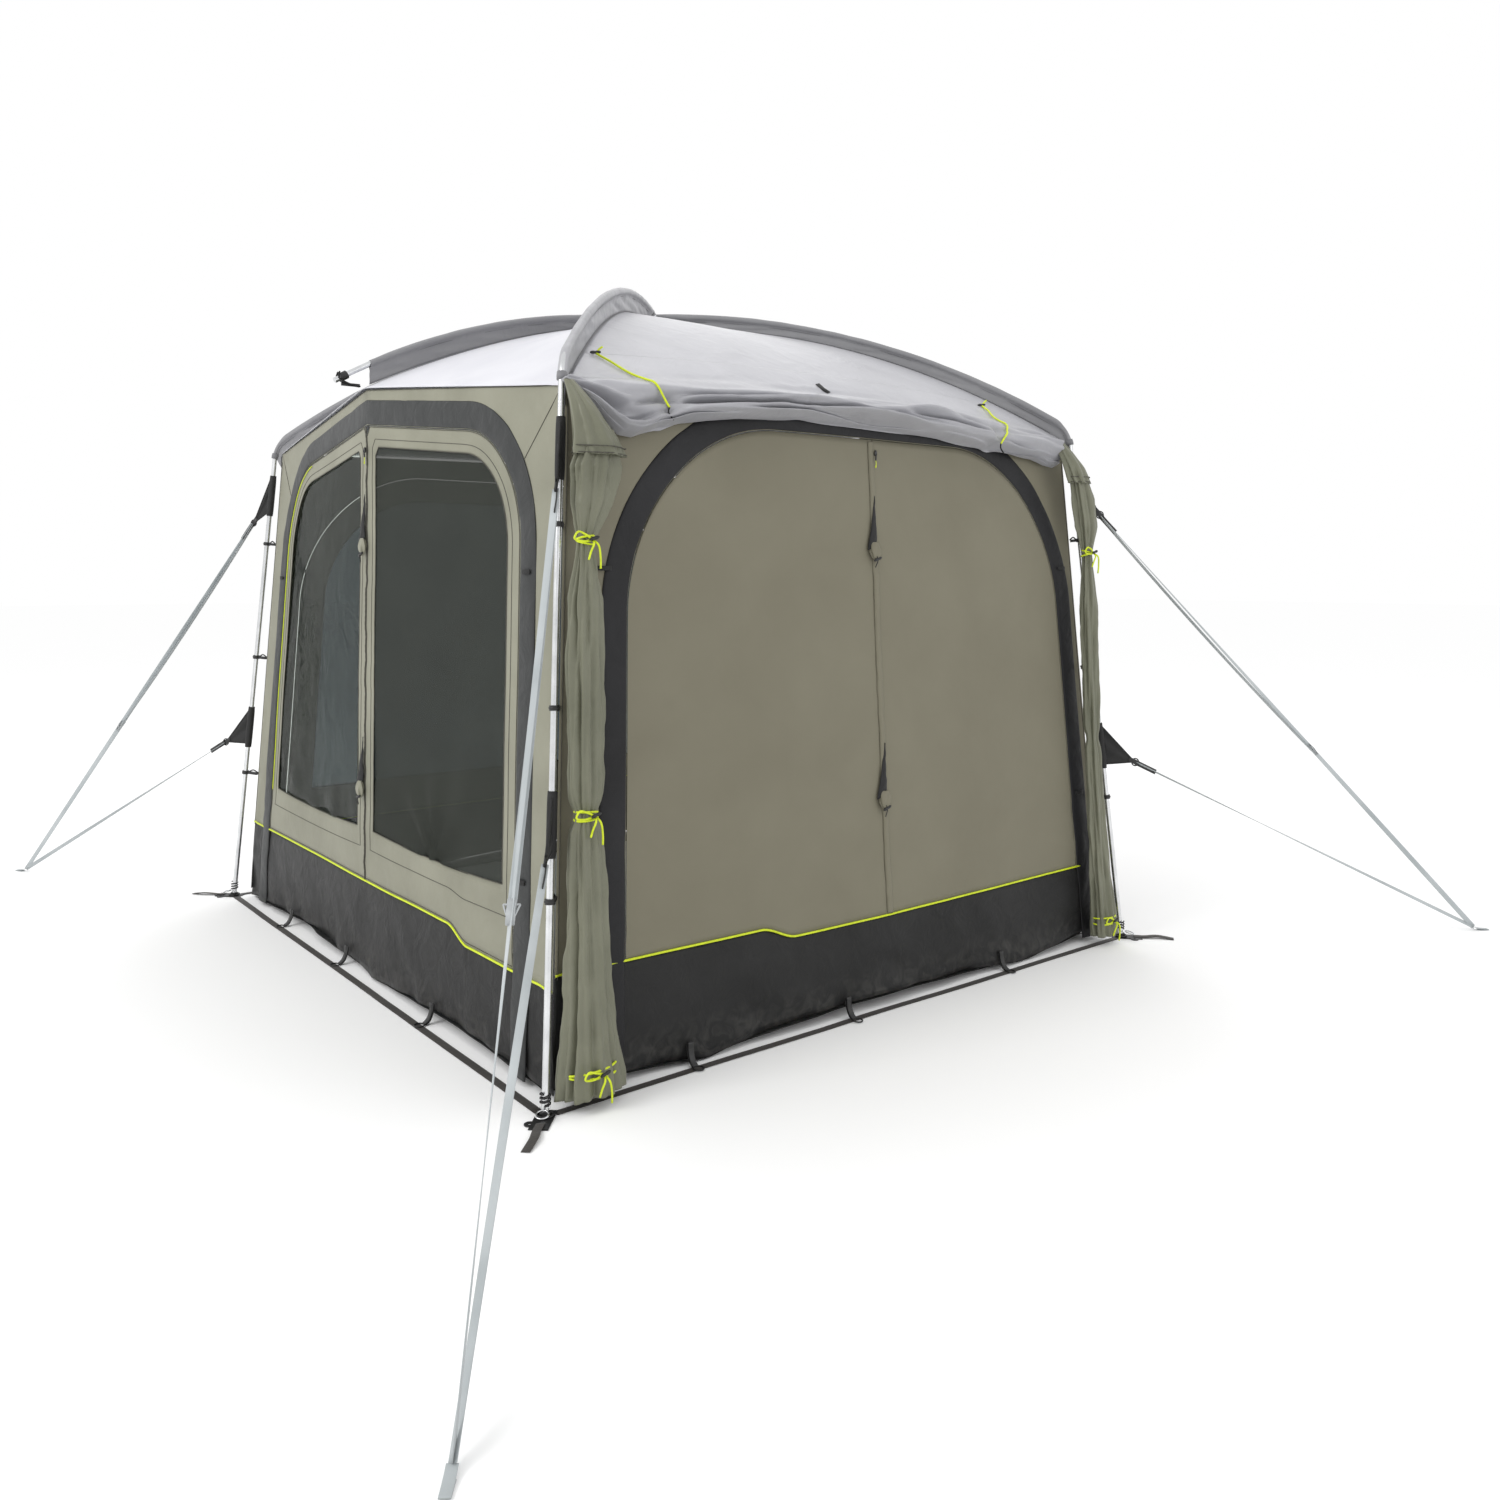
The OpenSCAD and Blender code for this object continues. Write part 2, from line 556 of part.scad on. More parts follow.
// The stitched webbing loop that takes the ground peg
module end_loop(upper) {
    d = unit([guy_dir(upper)[0], guy_dir(upper)[1], 0]);
    translate([upper[1][0], upper[1][1], 0]) rotate([0, 0, atan2(d[1], d[0])])
        translate([guy_d / 2 + 6, 0, 0]) difference() {
            translate([0, -12, 0]) cube([40, 24, 5]);
            translate([24, 0, -1]) cylinder(h = 7, r = EYE_R, $fn = 32);
        }
}

module slider(route) {
    color(MID_GREY) along(route, slider_at) {
        difference() {
            translate([-guy_d / 2 - 4, -guy_d / 2 - 4, 0])
                cube([guy_d + 8, guy_d + 8, slider_l]);
            translate([0, 0, -1]) cylinder(h = slider_l + 2, r = guy_d / 2 + 1, $fn = 48);
        }
        translate([guy_d / 2 + 4, 3, 2]) rotate([90, 0, 0]) linear_extrude(6)
            polygon([[-1, 0], [22, 12], [-1, 26]]);
    }
}

// A zip slider and its pull tab, just proud of the leaf's zip edge
module zip_pull(gable, z) {
    p = wall_pt(gable, [door_shift(gable) + zip_u + 9, z], cloth_t + 0.8);
    color(BLACK) translate(p) {
        translate([-6, -5, -9]) cube([12, 5, 18]);
        translate([-3, -5, -52]) cube([6, 2.5, 45]);
    }
}

// ---- nodes ----
module on_front() { children(); }
module on_right() { rotate([0, 0, 90]) children(); }
module on_back() { rotate([0, 0, 180]) children(); }
module on_left() { rotate([0, 0, 270]) children(); }

module leg_near() { color(STEEL) leg(near_a, upper_pole_z); }
module leg_far() { color(STEEL) leg(far_a, upper_pole_z); }
module leg_right() { color(STEEL) leg(right_a, lower_pole_z); }
module leg_left() { color(STEEL) leg(left_a, lower_pole_z); }
module roof_pole_upper() { color(STEEL) roof_pole(near_a, upper_pole_z); }
module roof_pole_lower() { color(STEEL) roof_pole(right_a, lower_pole_z); }

module ridge_pole() {
    end_a = acos((gable_mid + 111) / ridge_arc_r);
    color(STEEL) rotate([0, 0, 90])
        upright_arc([0, ridge_pole_z - ridge_arc_r], ridge_arc_r, end_a, 180 - end_a, pole_r);
}

module sleeve_upper() {
    color(MID_GREY) diagonal_sleeve(near_a, upper_pole_z, 60, true);
}

module sleeve_lower() {
    color(MID_GREY) diagonal_sleeve(right_a, lower_pole_z, 60, false);
}

module sleeve_ridge() {
    n = 16;
    s0 = 70;
    s1 = gable_mid - 10;
    c = [0, ridge_pole_z - ridge_arc_r];
    color(MID_GREY) for (a = [90, 270]) rotate([0, 0, a]) {
        upright_arc(c, ridge_arc_r, acos(s1 / ridge_arc_r), acos(s0 / ridge_arc_r),
            sleeve_out, sleeve_in);
        upright_plate(web(s0, s1, ridge_pole_z, ridge_arc_r,
            [for (i = [0:n]) let (t = (gable_mid + 14 - lerp(s0, s1, i / n)) / (gable_mid + 8))
                lerp(peak_z + 4, crown_z, 1 - pow(max(0, 1 - t), ridge_bow)) - cloth_t]), cloth_t - 1);
    }
}

module foot_fittings() { color(BLACK) for (i = [0:3]) foot_fitting(CORNERS[i], i < 2 ? -1 : 1); }

module ground_straps() {
    feet = [for (a = CORNERS) [diagonal * cos(a), diagonal * sin(a), 0]];
    color(CHARCOAL) {
        for (i = [0:3]) ground_strap(feet[i], feet[(i + 1) % 4]);
        for (a = CORNERS) on_corner(a) translate([76, -STRAP_W / 2, 0])
            cube([tail_l, STRAP_W, STRAP_T]);
    }
}

module pole_ties() {
    color(BLACK) {
        for (a = CORNERS, z = [520, 1010, 1490]) leg_clip(a, z);
        for (a = [90, 270]) rotate([0, 0, a]) ridge_tie();
    }
}

module roof_front() {
    color(LIGHT_GREY) on_front() for (side = [-1, 1]) gable_roof_half(side);
}

module roof_back() {
    color(LIGHT_GREY) on_back() for (side = [-1, 1]) gable_roof_half(side);
}

module roof_right() { color(LIGHT_GREY) on_right() side_roof(); }
module roof_left() { color(LIGHT_GREY) on_left() side_roof(); }

module front_wall() { color(OLIVE) on_front() wall_posts(true); }
module back_wall() { color(OLIVE) on_back() wall_posts(true); }
module right_wall() { color(OLIVE) on_right() wall_posts(false); }

module left_wall() {
    color(OLIVE) on_left() {
        wall_posts(false);
        translate([side_door_shift, 0, 0]) ring_plate(false,
            blind_loop(leaf_gap, mud_wall_z + mud_step / 2 + seam_gap),
            blind_loop(blind_border, blind_sill));
    }
}

module left_window() {
    color(TINTED) on_left() translate([side_door_shift, 0, 0])
        fan_plate(false, blind_loop(blind_border + window_gap, blind_sill + window_gap),
            [0, 1150], out = 0.5, t = cloth_t - 1);
}

module front_mud_wall() { color(CHARCOAL) on_front() mud_wall(true); }
module back_mud_wall() { color(CHARCOAL) on_back() mud_wall(true); }
module right_mud_wall() { color(CHARCOAL) on_right() mud_wall(false); }
module left_mud_wall() { color(CHARCOAL) on_left() mud_wall(false); }
module front_band() { color(CHARCOAL) on_front() door_band(true); }
module back_band() { color(CHARCOAL) on_back() door_band(true); }
module right_band() { color(CHARCOAL) on_right() door_band(false); }
module left_band() { color(CHARCOAL) on_left() door_band(false); }

module front_left_leaf() { color(OLIVE) on_front() window_leaf(-1); }
module front_right_leaf() { color(OLIVE) on_front() window_leaf(1); }
module back_left_leaf() { color(OLIVE) on_back() window_leaf(-1); }
module back_right_leaf() { color(OLIVE) on_back() window_leaf(1); }
module front_left_window() { color(FILM) on_front() window_pane(-1); }
module front_right_window() { color(MESH_DARK) on_front() window_pane(1); }
module back_left_window() { color(MESH_DARK) on_back() window_pane(-1); }
module back_right_window() { color(MESH_DARK) on_back() window_pane(1); }
module right_near_leaf() { color(OLIVE) on_right() plain_leaf(-1); }
module right_far_leaf() { color(OLIVE) on_right() plain_leaf(1); }

// The rolled-up tunnel roof along the top of the right wall
module tunnel_roll() {
    color(LIGHT_GREY) on_right() translate([-1000, 0, 0]) rotate([90, 0, 90])
        linear_extrude(1980) polygon([[-1228, 1822], [-1256, 1812], [-1290, 1830], [-1304, 1868],
            [-1296, 1905], [-1268, 1938], [-1236, 1958], [-1226, 1880]]);
}

// The tunnel's side cloths, gathered in bundles down both corners of the right wall
module tunnel_sides() {
    color(OLIVE) on_right() {
        swept_tube([[-1035, -1290, 1800], [-1035, -1292, 1620], [-1066, -1298, 1350],
            [-1085, -1312, 900], [-1092, -1330, 450], [-1100, -1364, 60]],
            [58, 56, 40, 40, 46, 56], 10);
        swept_tube([[1015, -1290, 1800], [1062, -1296, 1620], [1082, -1306, 1350],
            [1082, -1320, 900], [1090, -1340, 450], [1104, -1360, 60]],
            [46, 42, 36, 34, 38, 46], 10);
    }
}

module guy_patches() {
    color(BLACK) for (i = [0:3]) {
        guy_patch(CORNERS[i], upper_patch_z, UPPER_GUYS[i]);
        guy_patch(CORNERS[i], lower_patch_z, LOWER_GUYS[i]);
    }
}

module guy_buckles() {
    color(BLACK) for (i = [0:3]) {
        guy_buckle(UPPER_GUYS[i]);
        guy_buckle(LOWER_GUYS[i]);
    }
}

module guy_end_loops() { color(WEBBING) for (g = UPPER_GUYS) end_loop(g); }

leg_near();
leg_right();
leg_far();
leg_left();
roof_pole_upper();
roof_pole_lower();
ridge_pole();
sleeve_upper();
sleeve_lower();
sleeve_ridge();
foot_fittings();
ground_straps();
pole_ties();
roof_front();
roof_right();
roof_back();
roof_left();
front_wall();
front_mud_wall();
front_band();
right_wall();
right_mud_wall();
right_band();
back_wall();
back_mud_wall();
back_band();
left_wall();
left_mud_wall();
left_band();
front_left_leaf();
front_left_window();
front_right_leaf();
front_right_window();
back_left_leaf();
back_left_window();
back_right_leaf();
back_right_window();
right_near_leaf();
right_far_leaf();
left_window();
tunnel_roll();
tunnel_sides();
guy_patches();
guy_buckles();
guy_line(GUY_NEAR_UPPER);  // guy_near_upper
guy_line(GUY_NEAR_LOWER);  // guy_near_lower
guy_line(GUY_RIGHT_UPPER);  // guy_right_upper
guy_line(GUY_RIGHT_LOWER);  // guy_right_lower
guy_line(GUY_FAR_UPPER);  // guy_far_upper
guy_line(GUY_FAR_LOWER);  // guy_far_lower
guy_line(GUY_LEFT_UPPER);  // guy_left_upper
guy_line(GUY_LEFT_LOWER);  // guy_left_lower
guy_end_loops();
slider(GUY_NEAR_UPPER);  // slider_near
slider(GUY_RIGHT_UPPER);  // slider_right
slider(GUY_FAR_UPPER);  // slider_far
slider(GUY_LEFT_UPPER);  // slider_left
on_front() zip_pull(true, 1790);  // zip_pull_front
on_right() zip_pull(false, 1760);  // zip_pull_right
on_back() zip_pull(true, 1790);  // zip_pull_back
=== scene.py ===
import math

import bpy
import numpy as np
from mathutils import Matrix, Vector


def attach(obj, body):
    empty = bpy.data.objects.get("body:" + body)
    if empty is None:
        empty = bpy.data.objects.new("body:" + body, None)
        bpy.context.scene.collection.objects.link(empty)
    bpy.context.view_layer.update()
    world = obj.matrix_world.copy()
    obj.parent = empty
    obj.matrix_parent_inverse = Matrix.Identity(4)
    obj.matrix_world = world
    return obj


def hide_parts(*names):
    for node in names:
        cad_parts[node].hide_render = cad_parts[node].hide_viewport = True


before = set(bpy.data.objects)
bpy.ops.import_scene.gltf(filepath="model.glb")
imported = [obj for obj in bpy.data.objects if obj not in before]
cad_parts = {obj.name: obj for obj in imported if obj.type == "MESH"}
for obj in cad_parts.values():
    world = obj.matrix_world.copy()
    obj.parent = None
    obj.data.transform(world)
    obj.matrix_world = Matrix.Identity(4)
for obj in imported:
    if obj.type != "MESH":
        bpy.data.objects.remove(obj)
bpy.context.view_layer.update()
scene = bpy.context.scene

# ---- driving dimensions in metres, the same as the CAD source's ----
FOOT_X, FOOT_Y = 1.350, 1.223
LEAN = math.atan2(0.188, 1.885)
DIAGONAL = math.hypot(FOOT_X, FOOT_Y)
CORNER_A = math.atan2(FOOT_Y, FOOT_X)
CORNERS = {"near": -CORNER_A, "right": CORNER_A, "far": math.pi - CORNER_A, "left": math.pi + CORNER_A}
SLEEVE_R = 0.0128
EAVE_Z, PEAK_Z, CROWN_Z = 1.880, 2.000, 2.352
CORNER_BOW, RIDGE_BOW = 2.1, 1.7      # how the roof curves along its corners and under the ridge pole
HEM_S, EAVE_S = DIAGONAL - 0.070, 1.600
GABLE_MID = 1.166
SIDE_MID_FOOT, SIDE_MID_EAVE = 1.322, 1.212
ROOF_ARC_R, ELBOW_R = 3.000, 0.130
UPPER_POLE_Z, LOWER_POLE_Z = 2.424, 2.398
RIDGE_POLE_Z, RIDGE_ARC_R = 2.376, 2.460
BAND_W, BORDER_W, SILL = 0.085, 0.070, 0.500
LEAF_GAP, ZIP_U, SEAM_GAP = 0.003, 0.0015, 0.003
MUD_Z, MUD_STEP, STEP_HALF = 0.300, 0.040, 0.022
GUY_W = 0.020
CLOTH_THICK, FLAP_THICK, FILM_THICK = 0.0012, 0.0008, 0.0006
CLOTH_OUT, SEAM_OUT = 0.0015, 0.0024      # how far cloth and its seams lie outside a wall's plane
ARCH_SIDE, ARCH_TURN = 0.35, 0.75         # the shares of half an arch at which its shoulder starts and ends
LEG_CLIPS = (0.520, 1.010, 1.490)
# Guy routes: buckle end and ground point, as in the CAD source
GUY_ROUTES = {
    "near": ((1.300, -1.165, 1.585), (1.402, -1.252, 0.648), (2.335, -1.925, 0.012)),
    "right": ((1.284, 1.191, 1.590), (1.375, 1.285, 0.654), (2.140, 2.360, 0.012)),
    "far": ((-1.296, 1.176, 1.587), (-1.395, 1.265, 0.651), (-2.300, 2.100, 0.012)),
    "left": ((-1.304, -1.160, 1.584), (-1.408, -1.244, 0.648), (-2.390, -1.850, 0.012)),
}
SLIDER_AT = 0.56


# ---- small helpers ----
def lerp(a, b, t):
    return a + (b - a) * t


def unit(v):
    return v / np.linalg.norm(v)


def smooth(x):
    x = np.clip(x, 0.0, 1.0)
    return x * x * (3 - 2 * x)


def noise(x, y, z=0.0, seed=0):
    """Smooth noise from -1 to 1, for arrays or numbers."""
    x, y, z = np.broadcast_arrays(np.asarray(x, float), y, z)
    p = np.stack([x, y, z], axis=-1)
    cell = np.floor(p)
    f = p - cell
    f = f * f * (3 - 2 * f)
    total = np.zeros(x.shape)
    for dx in (0, 1):
        for dy in (0, 1):
            for dz in (0, 1):
                h = np.sin((cell + (dx, dy, dz)) @ np.array([127.1, 311.7, 74.7]) + seed * 17.3) * 43758.5
                w = (f[..., 0] if dx else 1 - f[..., 0]) * (f[..., 1] if dy else 1 - f[..., 1])
                total += (h - np.floor(h)) * w * (f[..., 2] if dz else 1 - f[..., 2])
    return total * 2 - 1


def grid_faces(rows, columns, wrap_rows=False, wrap_columns=False):
    faces = []
    for i in range(rows if wrap_rows else rows - 1):
        for j in range(columns if wrap_columns else columns - 1):
            a, b = i * columns, ((i + 1) % rows) * columns
            k = (j + 1) % columns
            faces.append((a + j, a + k, b + k, b + j))
    return faces


def mesh_object(name, points, faces, material):
    mesh = bpy.data.meshes.new(name)
    mesh.from_pydata([tuple(map(float, p)) for p in points], [], faces)
    mesh.materials.append(material)
    mesh.polygons.foreach_set("use_smooth", [True] * len(mesh.polygons))
    obj = bpy.data.objects.new(name, mesh)
    scene.collection.objects.link(obj)
    return obj


def place(obj, body="root", stands_for=()):
    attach(obj, body)
    if stands_for:
        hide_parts(*stands_for)
    return obj


def piece(name, shape, material, body="root", stands_for=()):
    """A placed mesh of a shape, which is (points, faces)."""
    return place(mesh_object(name, *shape, material), body, stands_for)


def thicken(obj, thickness):
    m = obj.modifiers.new("thickness", "SOLIDIFY")
    m.thickness = thickness
    m.offset = 0.0
    return obj


def cloth(name, points, faces, material, thickness, slot, length, body="root", stands_for=(),
          held="stretched"):
    """A sheet of cloth: its mesh, thickened and placed. Its length is not used."""
    obj = thicken(mesh_object(name, points, faces, material), thickness)
    place(obj, body, stands_for)
    return obj


def distance_along(line):
    """How far each point of a line is along it."""
    return np.concatenate([[0], np.cumsum(np.linalg.norm(np.diff(line, axis=0), axis=1))])


def directions(line):
    """The unit direction at each point of a line."""
    d = np.gradient(line, axis=0)
    return d / np.linalg.norm(d, axis=1)[:, None]


def swept_faces(rows, columns):
    """The faces of a closed profile swept along a line, with both ends closed."""
    last = (rows - 1) * columns
    return grid_faces(rows, columns, wrap_columns=True) + [
        tuple(range(columns - 1, -1, -1)), tuple(range(last, last + columns))]


def tube_mesh(line, radius, sides=8):
    """Points and faces of a closed-ended tube. radius is a number or one per point."""
    line = np.array(line, float)
    n = len(line)
    radii = np.full(n, radius) if np.isscalar(radius) else np.array(radius, float)
    d = directions(line)
    x = np.cross(d[0], [0, 0, 1] if abs(d[0][2]) < 0.9 else [1, 0, 0])
    points = []
    for i in range(n):
        x = x - d[i] * (x @ d[i])
        x = unit(x)
        y = np.cross(d[i], x)
        for k in range(sides):
            a = 2 * math.pi * k / sides
            points.append(line[i] + radii[i] * (x * math.cos(a) + y * math.sin(a)))
    return points, swept_faces(n, sides)


def strap_mesh(line, sides_dir, width, thickness):
    """Points and faces of flat webbing along a line; sides_dir is the width's direction at each point."""
    line = np.array(line, float)
    d = directions(line)
    profile = [(-0.5, -0.3), (-0.5, 0.3), (-0.46, 0.5), (0, 0.5), (0.46, 0.5), (0.5, 0.3), (0.5, -0.3),
               (0.46, -0.5), (0, -0.5), (-0.46, -0.5)]
    points = []
    for i, p in enumerate(line):
        s = np.array(sides_dir[i], float)
        s = unit(s - d[i] * (s @ d[i]))
        up = np.cross(d[i], s)
        points += [p + s * width * a + up * thickness * b for a, b in profile]
    return points, swept_faces(len(line), len(profile))


def joined(parts):
    """Several (points, faces) as one."""
    points, faces = [], []
    for p, f in parts:
        faces += [tuple(k + len(points) for k in face) for face in f]
        points += list(p)
    return points, faces


def ring_mesh(centre, axis, radius, thick, steps=28, sides=8):
    """Points and faces of a ring round an axis."""
    axis = Vector(axis).normalized()
    x = axis.orthogonal().normalized()
    y = axis.cross(x)
    points = []
    for i in range(steps):
        turn = 2 * math.pi * i / steps
        p = Vector(centre) + (x * math.cos(turn) + y * math.sin(turn)) * radius
        out = (p - Vector(centre)).normalized()
        for k in range(sides):
            a = 2 * math.pi * k / sides
            points.append(tuple(p + (out * math.cos(a) + axis * math.sin(a)) * thick))
    return points, grid_faces(steps, sides, wrap_rows=True, wrap_columns=True)


def curve_through(points, count):
    """A smooth line through given points."""
    p = np.array(points, float)
    along = distance_along(p)
    tangent = np.gradient(p, along, axis=0)
    at = np.linspace(0, along[-1], count)
    k = np.clip(np.searchsorted(along, at) - 1, 0, len(p) - 2)
    h = (along[k + 1] - along[k])[:, None]
    t = ((at - along[k]) / h[:, 0])[:, None]
    return ((2 * t ** 3 - 3 * t ** 2 + 1) * p[k] + (t ** 3 - 2 * t ** 2 + t) * h * tangent[k]
            + (-2 * t ** 3 + 3 * t ** 2) * p[k + 1] + (t ** 3 - t ** 2) * h * tangent[k + 1])


def curve_through_weights(knots, count):
    """How much each of some evenly numbered points counts at each step of a smooth line through them."""
    at = np.linspace(0, knots - 1, count)
    k = np.clip(at.astype(int), 0, knots - 2)
    t = at - k
    weights = np.zeros((count, knots))
    rows = np.arange(count)
    slope = np.gradient(np.eye(knots), axis=0)
    weights += (t ** 3 - 2 * t ** 2 + t)[:, None] * slope[k] + (t ** 3 - t ** 2)[:, None] * slope[k + 1]
    weights[rows, k] += 2 * t ** 3 - 3 * t ** 2 + 1
    weights[rows, k + 1] += -2 * t ** 3 + 3 * t ** 2
    return weights


# ---- materials ----
def new_material(name):
    m = bpy.data.materials.new(name)
    m.use_nodes = True
    m.node_tree.nodes.clear()
    return m, m.node_tree.nodes, m.node_tree.links


def socket(node, name, value):
    node.inputs[name].default_value = value


def noise_node(nodes, links, where, scale, detail=3.0, distortion=0.0):
    n = nodes.new("ShaderNodeTexNoise")
    socket(n, "Scale", scale)
    socket(n, "Detail", detail)
    socket(n, "Distortion", distortion)
    links.new(where.outputs["Object"], n.inputs["Vector"])
    return n


def ramp_node(nodes, links, source, low, high, a, b):
    r = nodes.new("ShaderNodeValToRGB")
    r.color_ramp.elements[0].position, r.color_ramp.elements[1].position = low, high
    r.color_ramp.elements[0].color, r.color_ramp.elements[1].color = (*a, 1), (*b, 1)
    links.new(source, r.inputs["Fac"])
    return r


def map_range(nodes, links, value, **limits):
    """The value of a socket moved from one range to another; from_min=0.2 sets From Min."""
    r = nodes.new("ShaderNodeMapRange")
    for name, limit in limits.items():
        socket(r, name.replace("_", " ").title(), limit)
    links.new(value, r.inputs["Value"])
    return r.outputs["Result"]


def bump_node(nodes, links, height, strength, distance):
    bump = nodes.new("ShaderNodeBump")
    socket(bump, "Strength", strength)
    socket(bump, "Distance", distance)
    links.new(height, bump.inputs["Height"])
    return bump


def object_height(nodes, links, where):
    split = nodes.new("ShaderNodeSeparateXYZ")
    links.new(where.outputs["Object"], split.inputs[0])
    return split.outputs["Z"]


def mixed_shader(nodes, links, share, first, second):
    mix = nodes.new("ShaderNodeMixShader")
    socket(mix, "Fac", share)
    links.new(first.outputs[0], mix.inputs[1])
    links.new(second.outputs[0], mix.inputs[2])
    return mix


def surface(nodes, links, shader):
    out = nodes.new("ShaderNodeOutputMaterial")
    links.new(shader.outputs[0], out.inputs["Surface"])


def weave_bump(nodes, links, where, pitch, strength, distance, after):
    """Two crossed thread waves as one bump, over another bump."""
    waves = []
    for direction in ("X", "Z"):
        w = nodes.new("ShaderNodeTexWave")
        w.bands_direction = direction
        socket(w, "Scale", 1 / pitch / 6.28)
        socket(w, "Distortion", 0.4)
        links.new(where.outputs["Object"], w.inputs["Vector"])
        waves.append(w)
    both = nodes.new("ShaderNodeMath")
    both.operation = "MULTIPLY"
    links.new(waves[0].outputs["Fac"], both.inputs[0])
    links.new(waves[1].outputs["Fac"], both.inputs[1])
    bump = bump_node(nodes, links, both.outputs[0], strength, distance)
    links.new(after.outputs["Normal"], bump.inputs["Normal"])
    return bump


def crinkle_bump(nodes, links, where, scale, strength, distance):
    n = noise_node(nodes, links, where, scale, 4.0, 0.8)
    return bump_node(nodes, links, n.outputs["Fac"], strength, distance)


def darker_below(nodes, links, where, colour, low, high, share):
    """The same colour, multiplied down to a share of itself towards the lower height: painted shade."""
    height = map_range(nodes, links, object_height(nodes, links, where), from_min=low, from_max=high)
    shade = ramp_node(nodes, links, height, 0.0, 1.0, (share,) * 3, (1.0,) * 3)
    mixed = nodes.new("ShaderNodeMix")
    mixed.data_type, mixed.blend_type = "RGBA", "MULTIPLY"
    socket(mixed, 0, 1.0)
    links.new(colour, mixed.inputs[6])
    links.new(shade.outputs["Color"], mixed.inputs[7])
    return mixed.outputs[2]


def fabric(name, dark, light, rough=0.6, pitch=0.0022, crinkle=0.35, crinkle_scale=9.0, sheen=0.15,
           through=0.0, specular=0.4, painted_shade=None):
    """Woven cloth: two close colours in soft patches, crossed threads, small creases, and light through it.

    The last argument is (low, high, share): painted shade, below high the colour is painted darker, to that
    share at low."""
    m, nodes, links = new_material(name)
    where = nodes.new("ShaderNodeTexCoord")
    patches = noise_node(nodes, links, where, 3.5, 5.0, 0.3)
    colour = ramp_node(nodes, links, patches.outputs["Fac"], 0.3, 0.7, dark, light).outputs["Color"]
    # painted shade: the colour is darkened towards the lower height
    if painted_shade:
        colour = darker_below(nodes, links, where, colour, *painted_shade)
    bump = weave_bump(nodes, links, where, pitch, 0.12, 0.0006,
                      crinkle_bump(nodes, links, where, crinkle_scale, crinkle, 0.012))
    skin = nodes.new("ShaderNodeBsdfPrincipled")
    links.new(colour, skin.inputs["Base Color"])
    links.new(bump.outputs["Normal"], skin.inputs["Normal"])
    fine = noise_node(nodes, links, where, 40.0, 2.0)
    worn = map_range(nodes, links, fine.outputs["Fac"], to_min=rough - 0.07, to_max=rough + 0.07)
    links.new(worn, skin.inputs["Roughness"])
    socket(skin, "Sheen Weight", sheen)
    socket(skin, "Sheen Roughness", 0.4)
    socket(skin, "Specular IOR Level", specular)
    if through > 0:
        glow = nodes.new("ShaderNodeBsdfTranslucent")
        links.new(colour, glow.inputs["Color"])
        skin = mixed_shader(nodes, links, through, skin, glow)
    surface(nodes, links, skin)
    return m


def dusty_fabric(name, dark, light, dust, top, reach):
    """Dark coated cloth with dust that thins out upwards from the ground."""
    m = fabric(name, dark, light, rough=0.48, crinkle=0.5, crinkle_scale=11.0, sheen=0.02, specular=0.22)
    nodes, links = m.node_tree.nodes, m.node_tree.links
    skin = next(n for n in nodes if n.type == "BSDF_PRINCIPLED")
    where = next(n for n in nodes if n.type == "TEX_COORD")
    base = skin.inputs["Base Color"].links[0].from_socket
    height = map_range(nodes, links, object_height(nodes, links, where), from_min=0.0, from_max=reach,
                       to_min=top, to_max=0.0)
    spots = noise_node(nodes, links, where, 22.0, 6.0, 1.2)
    mask = map_range(nodes, links, spots.outputs["Fac"], from_min=0.42, from_max=0.72)
    amount = nodes.new("ShaderNodeMath")
    amount.operation = "MULTIPLY"
    links.new(height, amount.inputs[0])
    links.new(mask, amount.inputs[1])
    mix = nodes.new("ShaderNodeMix")
    mix.data_type = "RGBA"
    links.new(amount.outputs[0], mix.inputs[0])
    links.new(base, mix.inputs[6])
    mix.inputs[7].default_value = (*dust, 1)
    links.new(mix.outputs[2], skin.inputs["Base Color"])
    return m


def see_through(name, colour, clear, rough, tint=(1, 1, 1), bump_scale=6.0, bump=0.2, specular=0.5):
    """Mesh or film: part of the light goes straight through, the rest meets its surface."""
    m, nodes, links = new_material(name)
    where = nodes.new("ShaderNodeTexCoord")
    patches = noise_node(nodes, links, where, 5.0, 4.0, 0.5)
    ramp = ramp_node(nodes, links, patches.outputs["Fac"], 0.3, 0.7, [c * 0.85 for c in colour], colour)
    skin = nodes.new("ShaderNodeBsdfPrincipled")
    links.new(ramp.outputs["Color"], skin.inputs["Base Color"])
    socket(skin, "Roughness", rough)
    socket(skin, "Specular IOR Level", specular)
    dents = crinkle_bump(nodes, links, where, bump_scale, bump, 0.01)
    links.new(dents.outputs["Normal"], skin.inputs["Normal"])
    hole = nodes.new("ShaderNodeBsdfTransparent")
    socket(hole, "Color", (*tint, 1))
    surface(nodes, links, mixed_shader(nodes, links, clear, skin, hole))
    return m


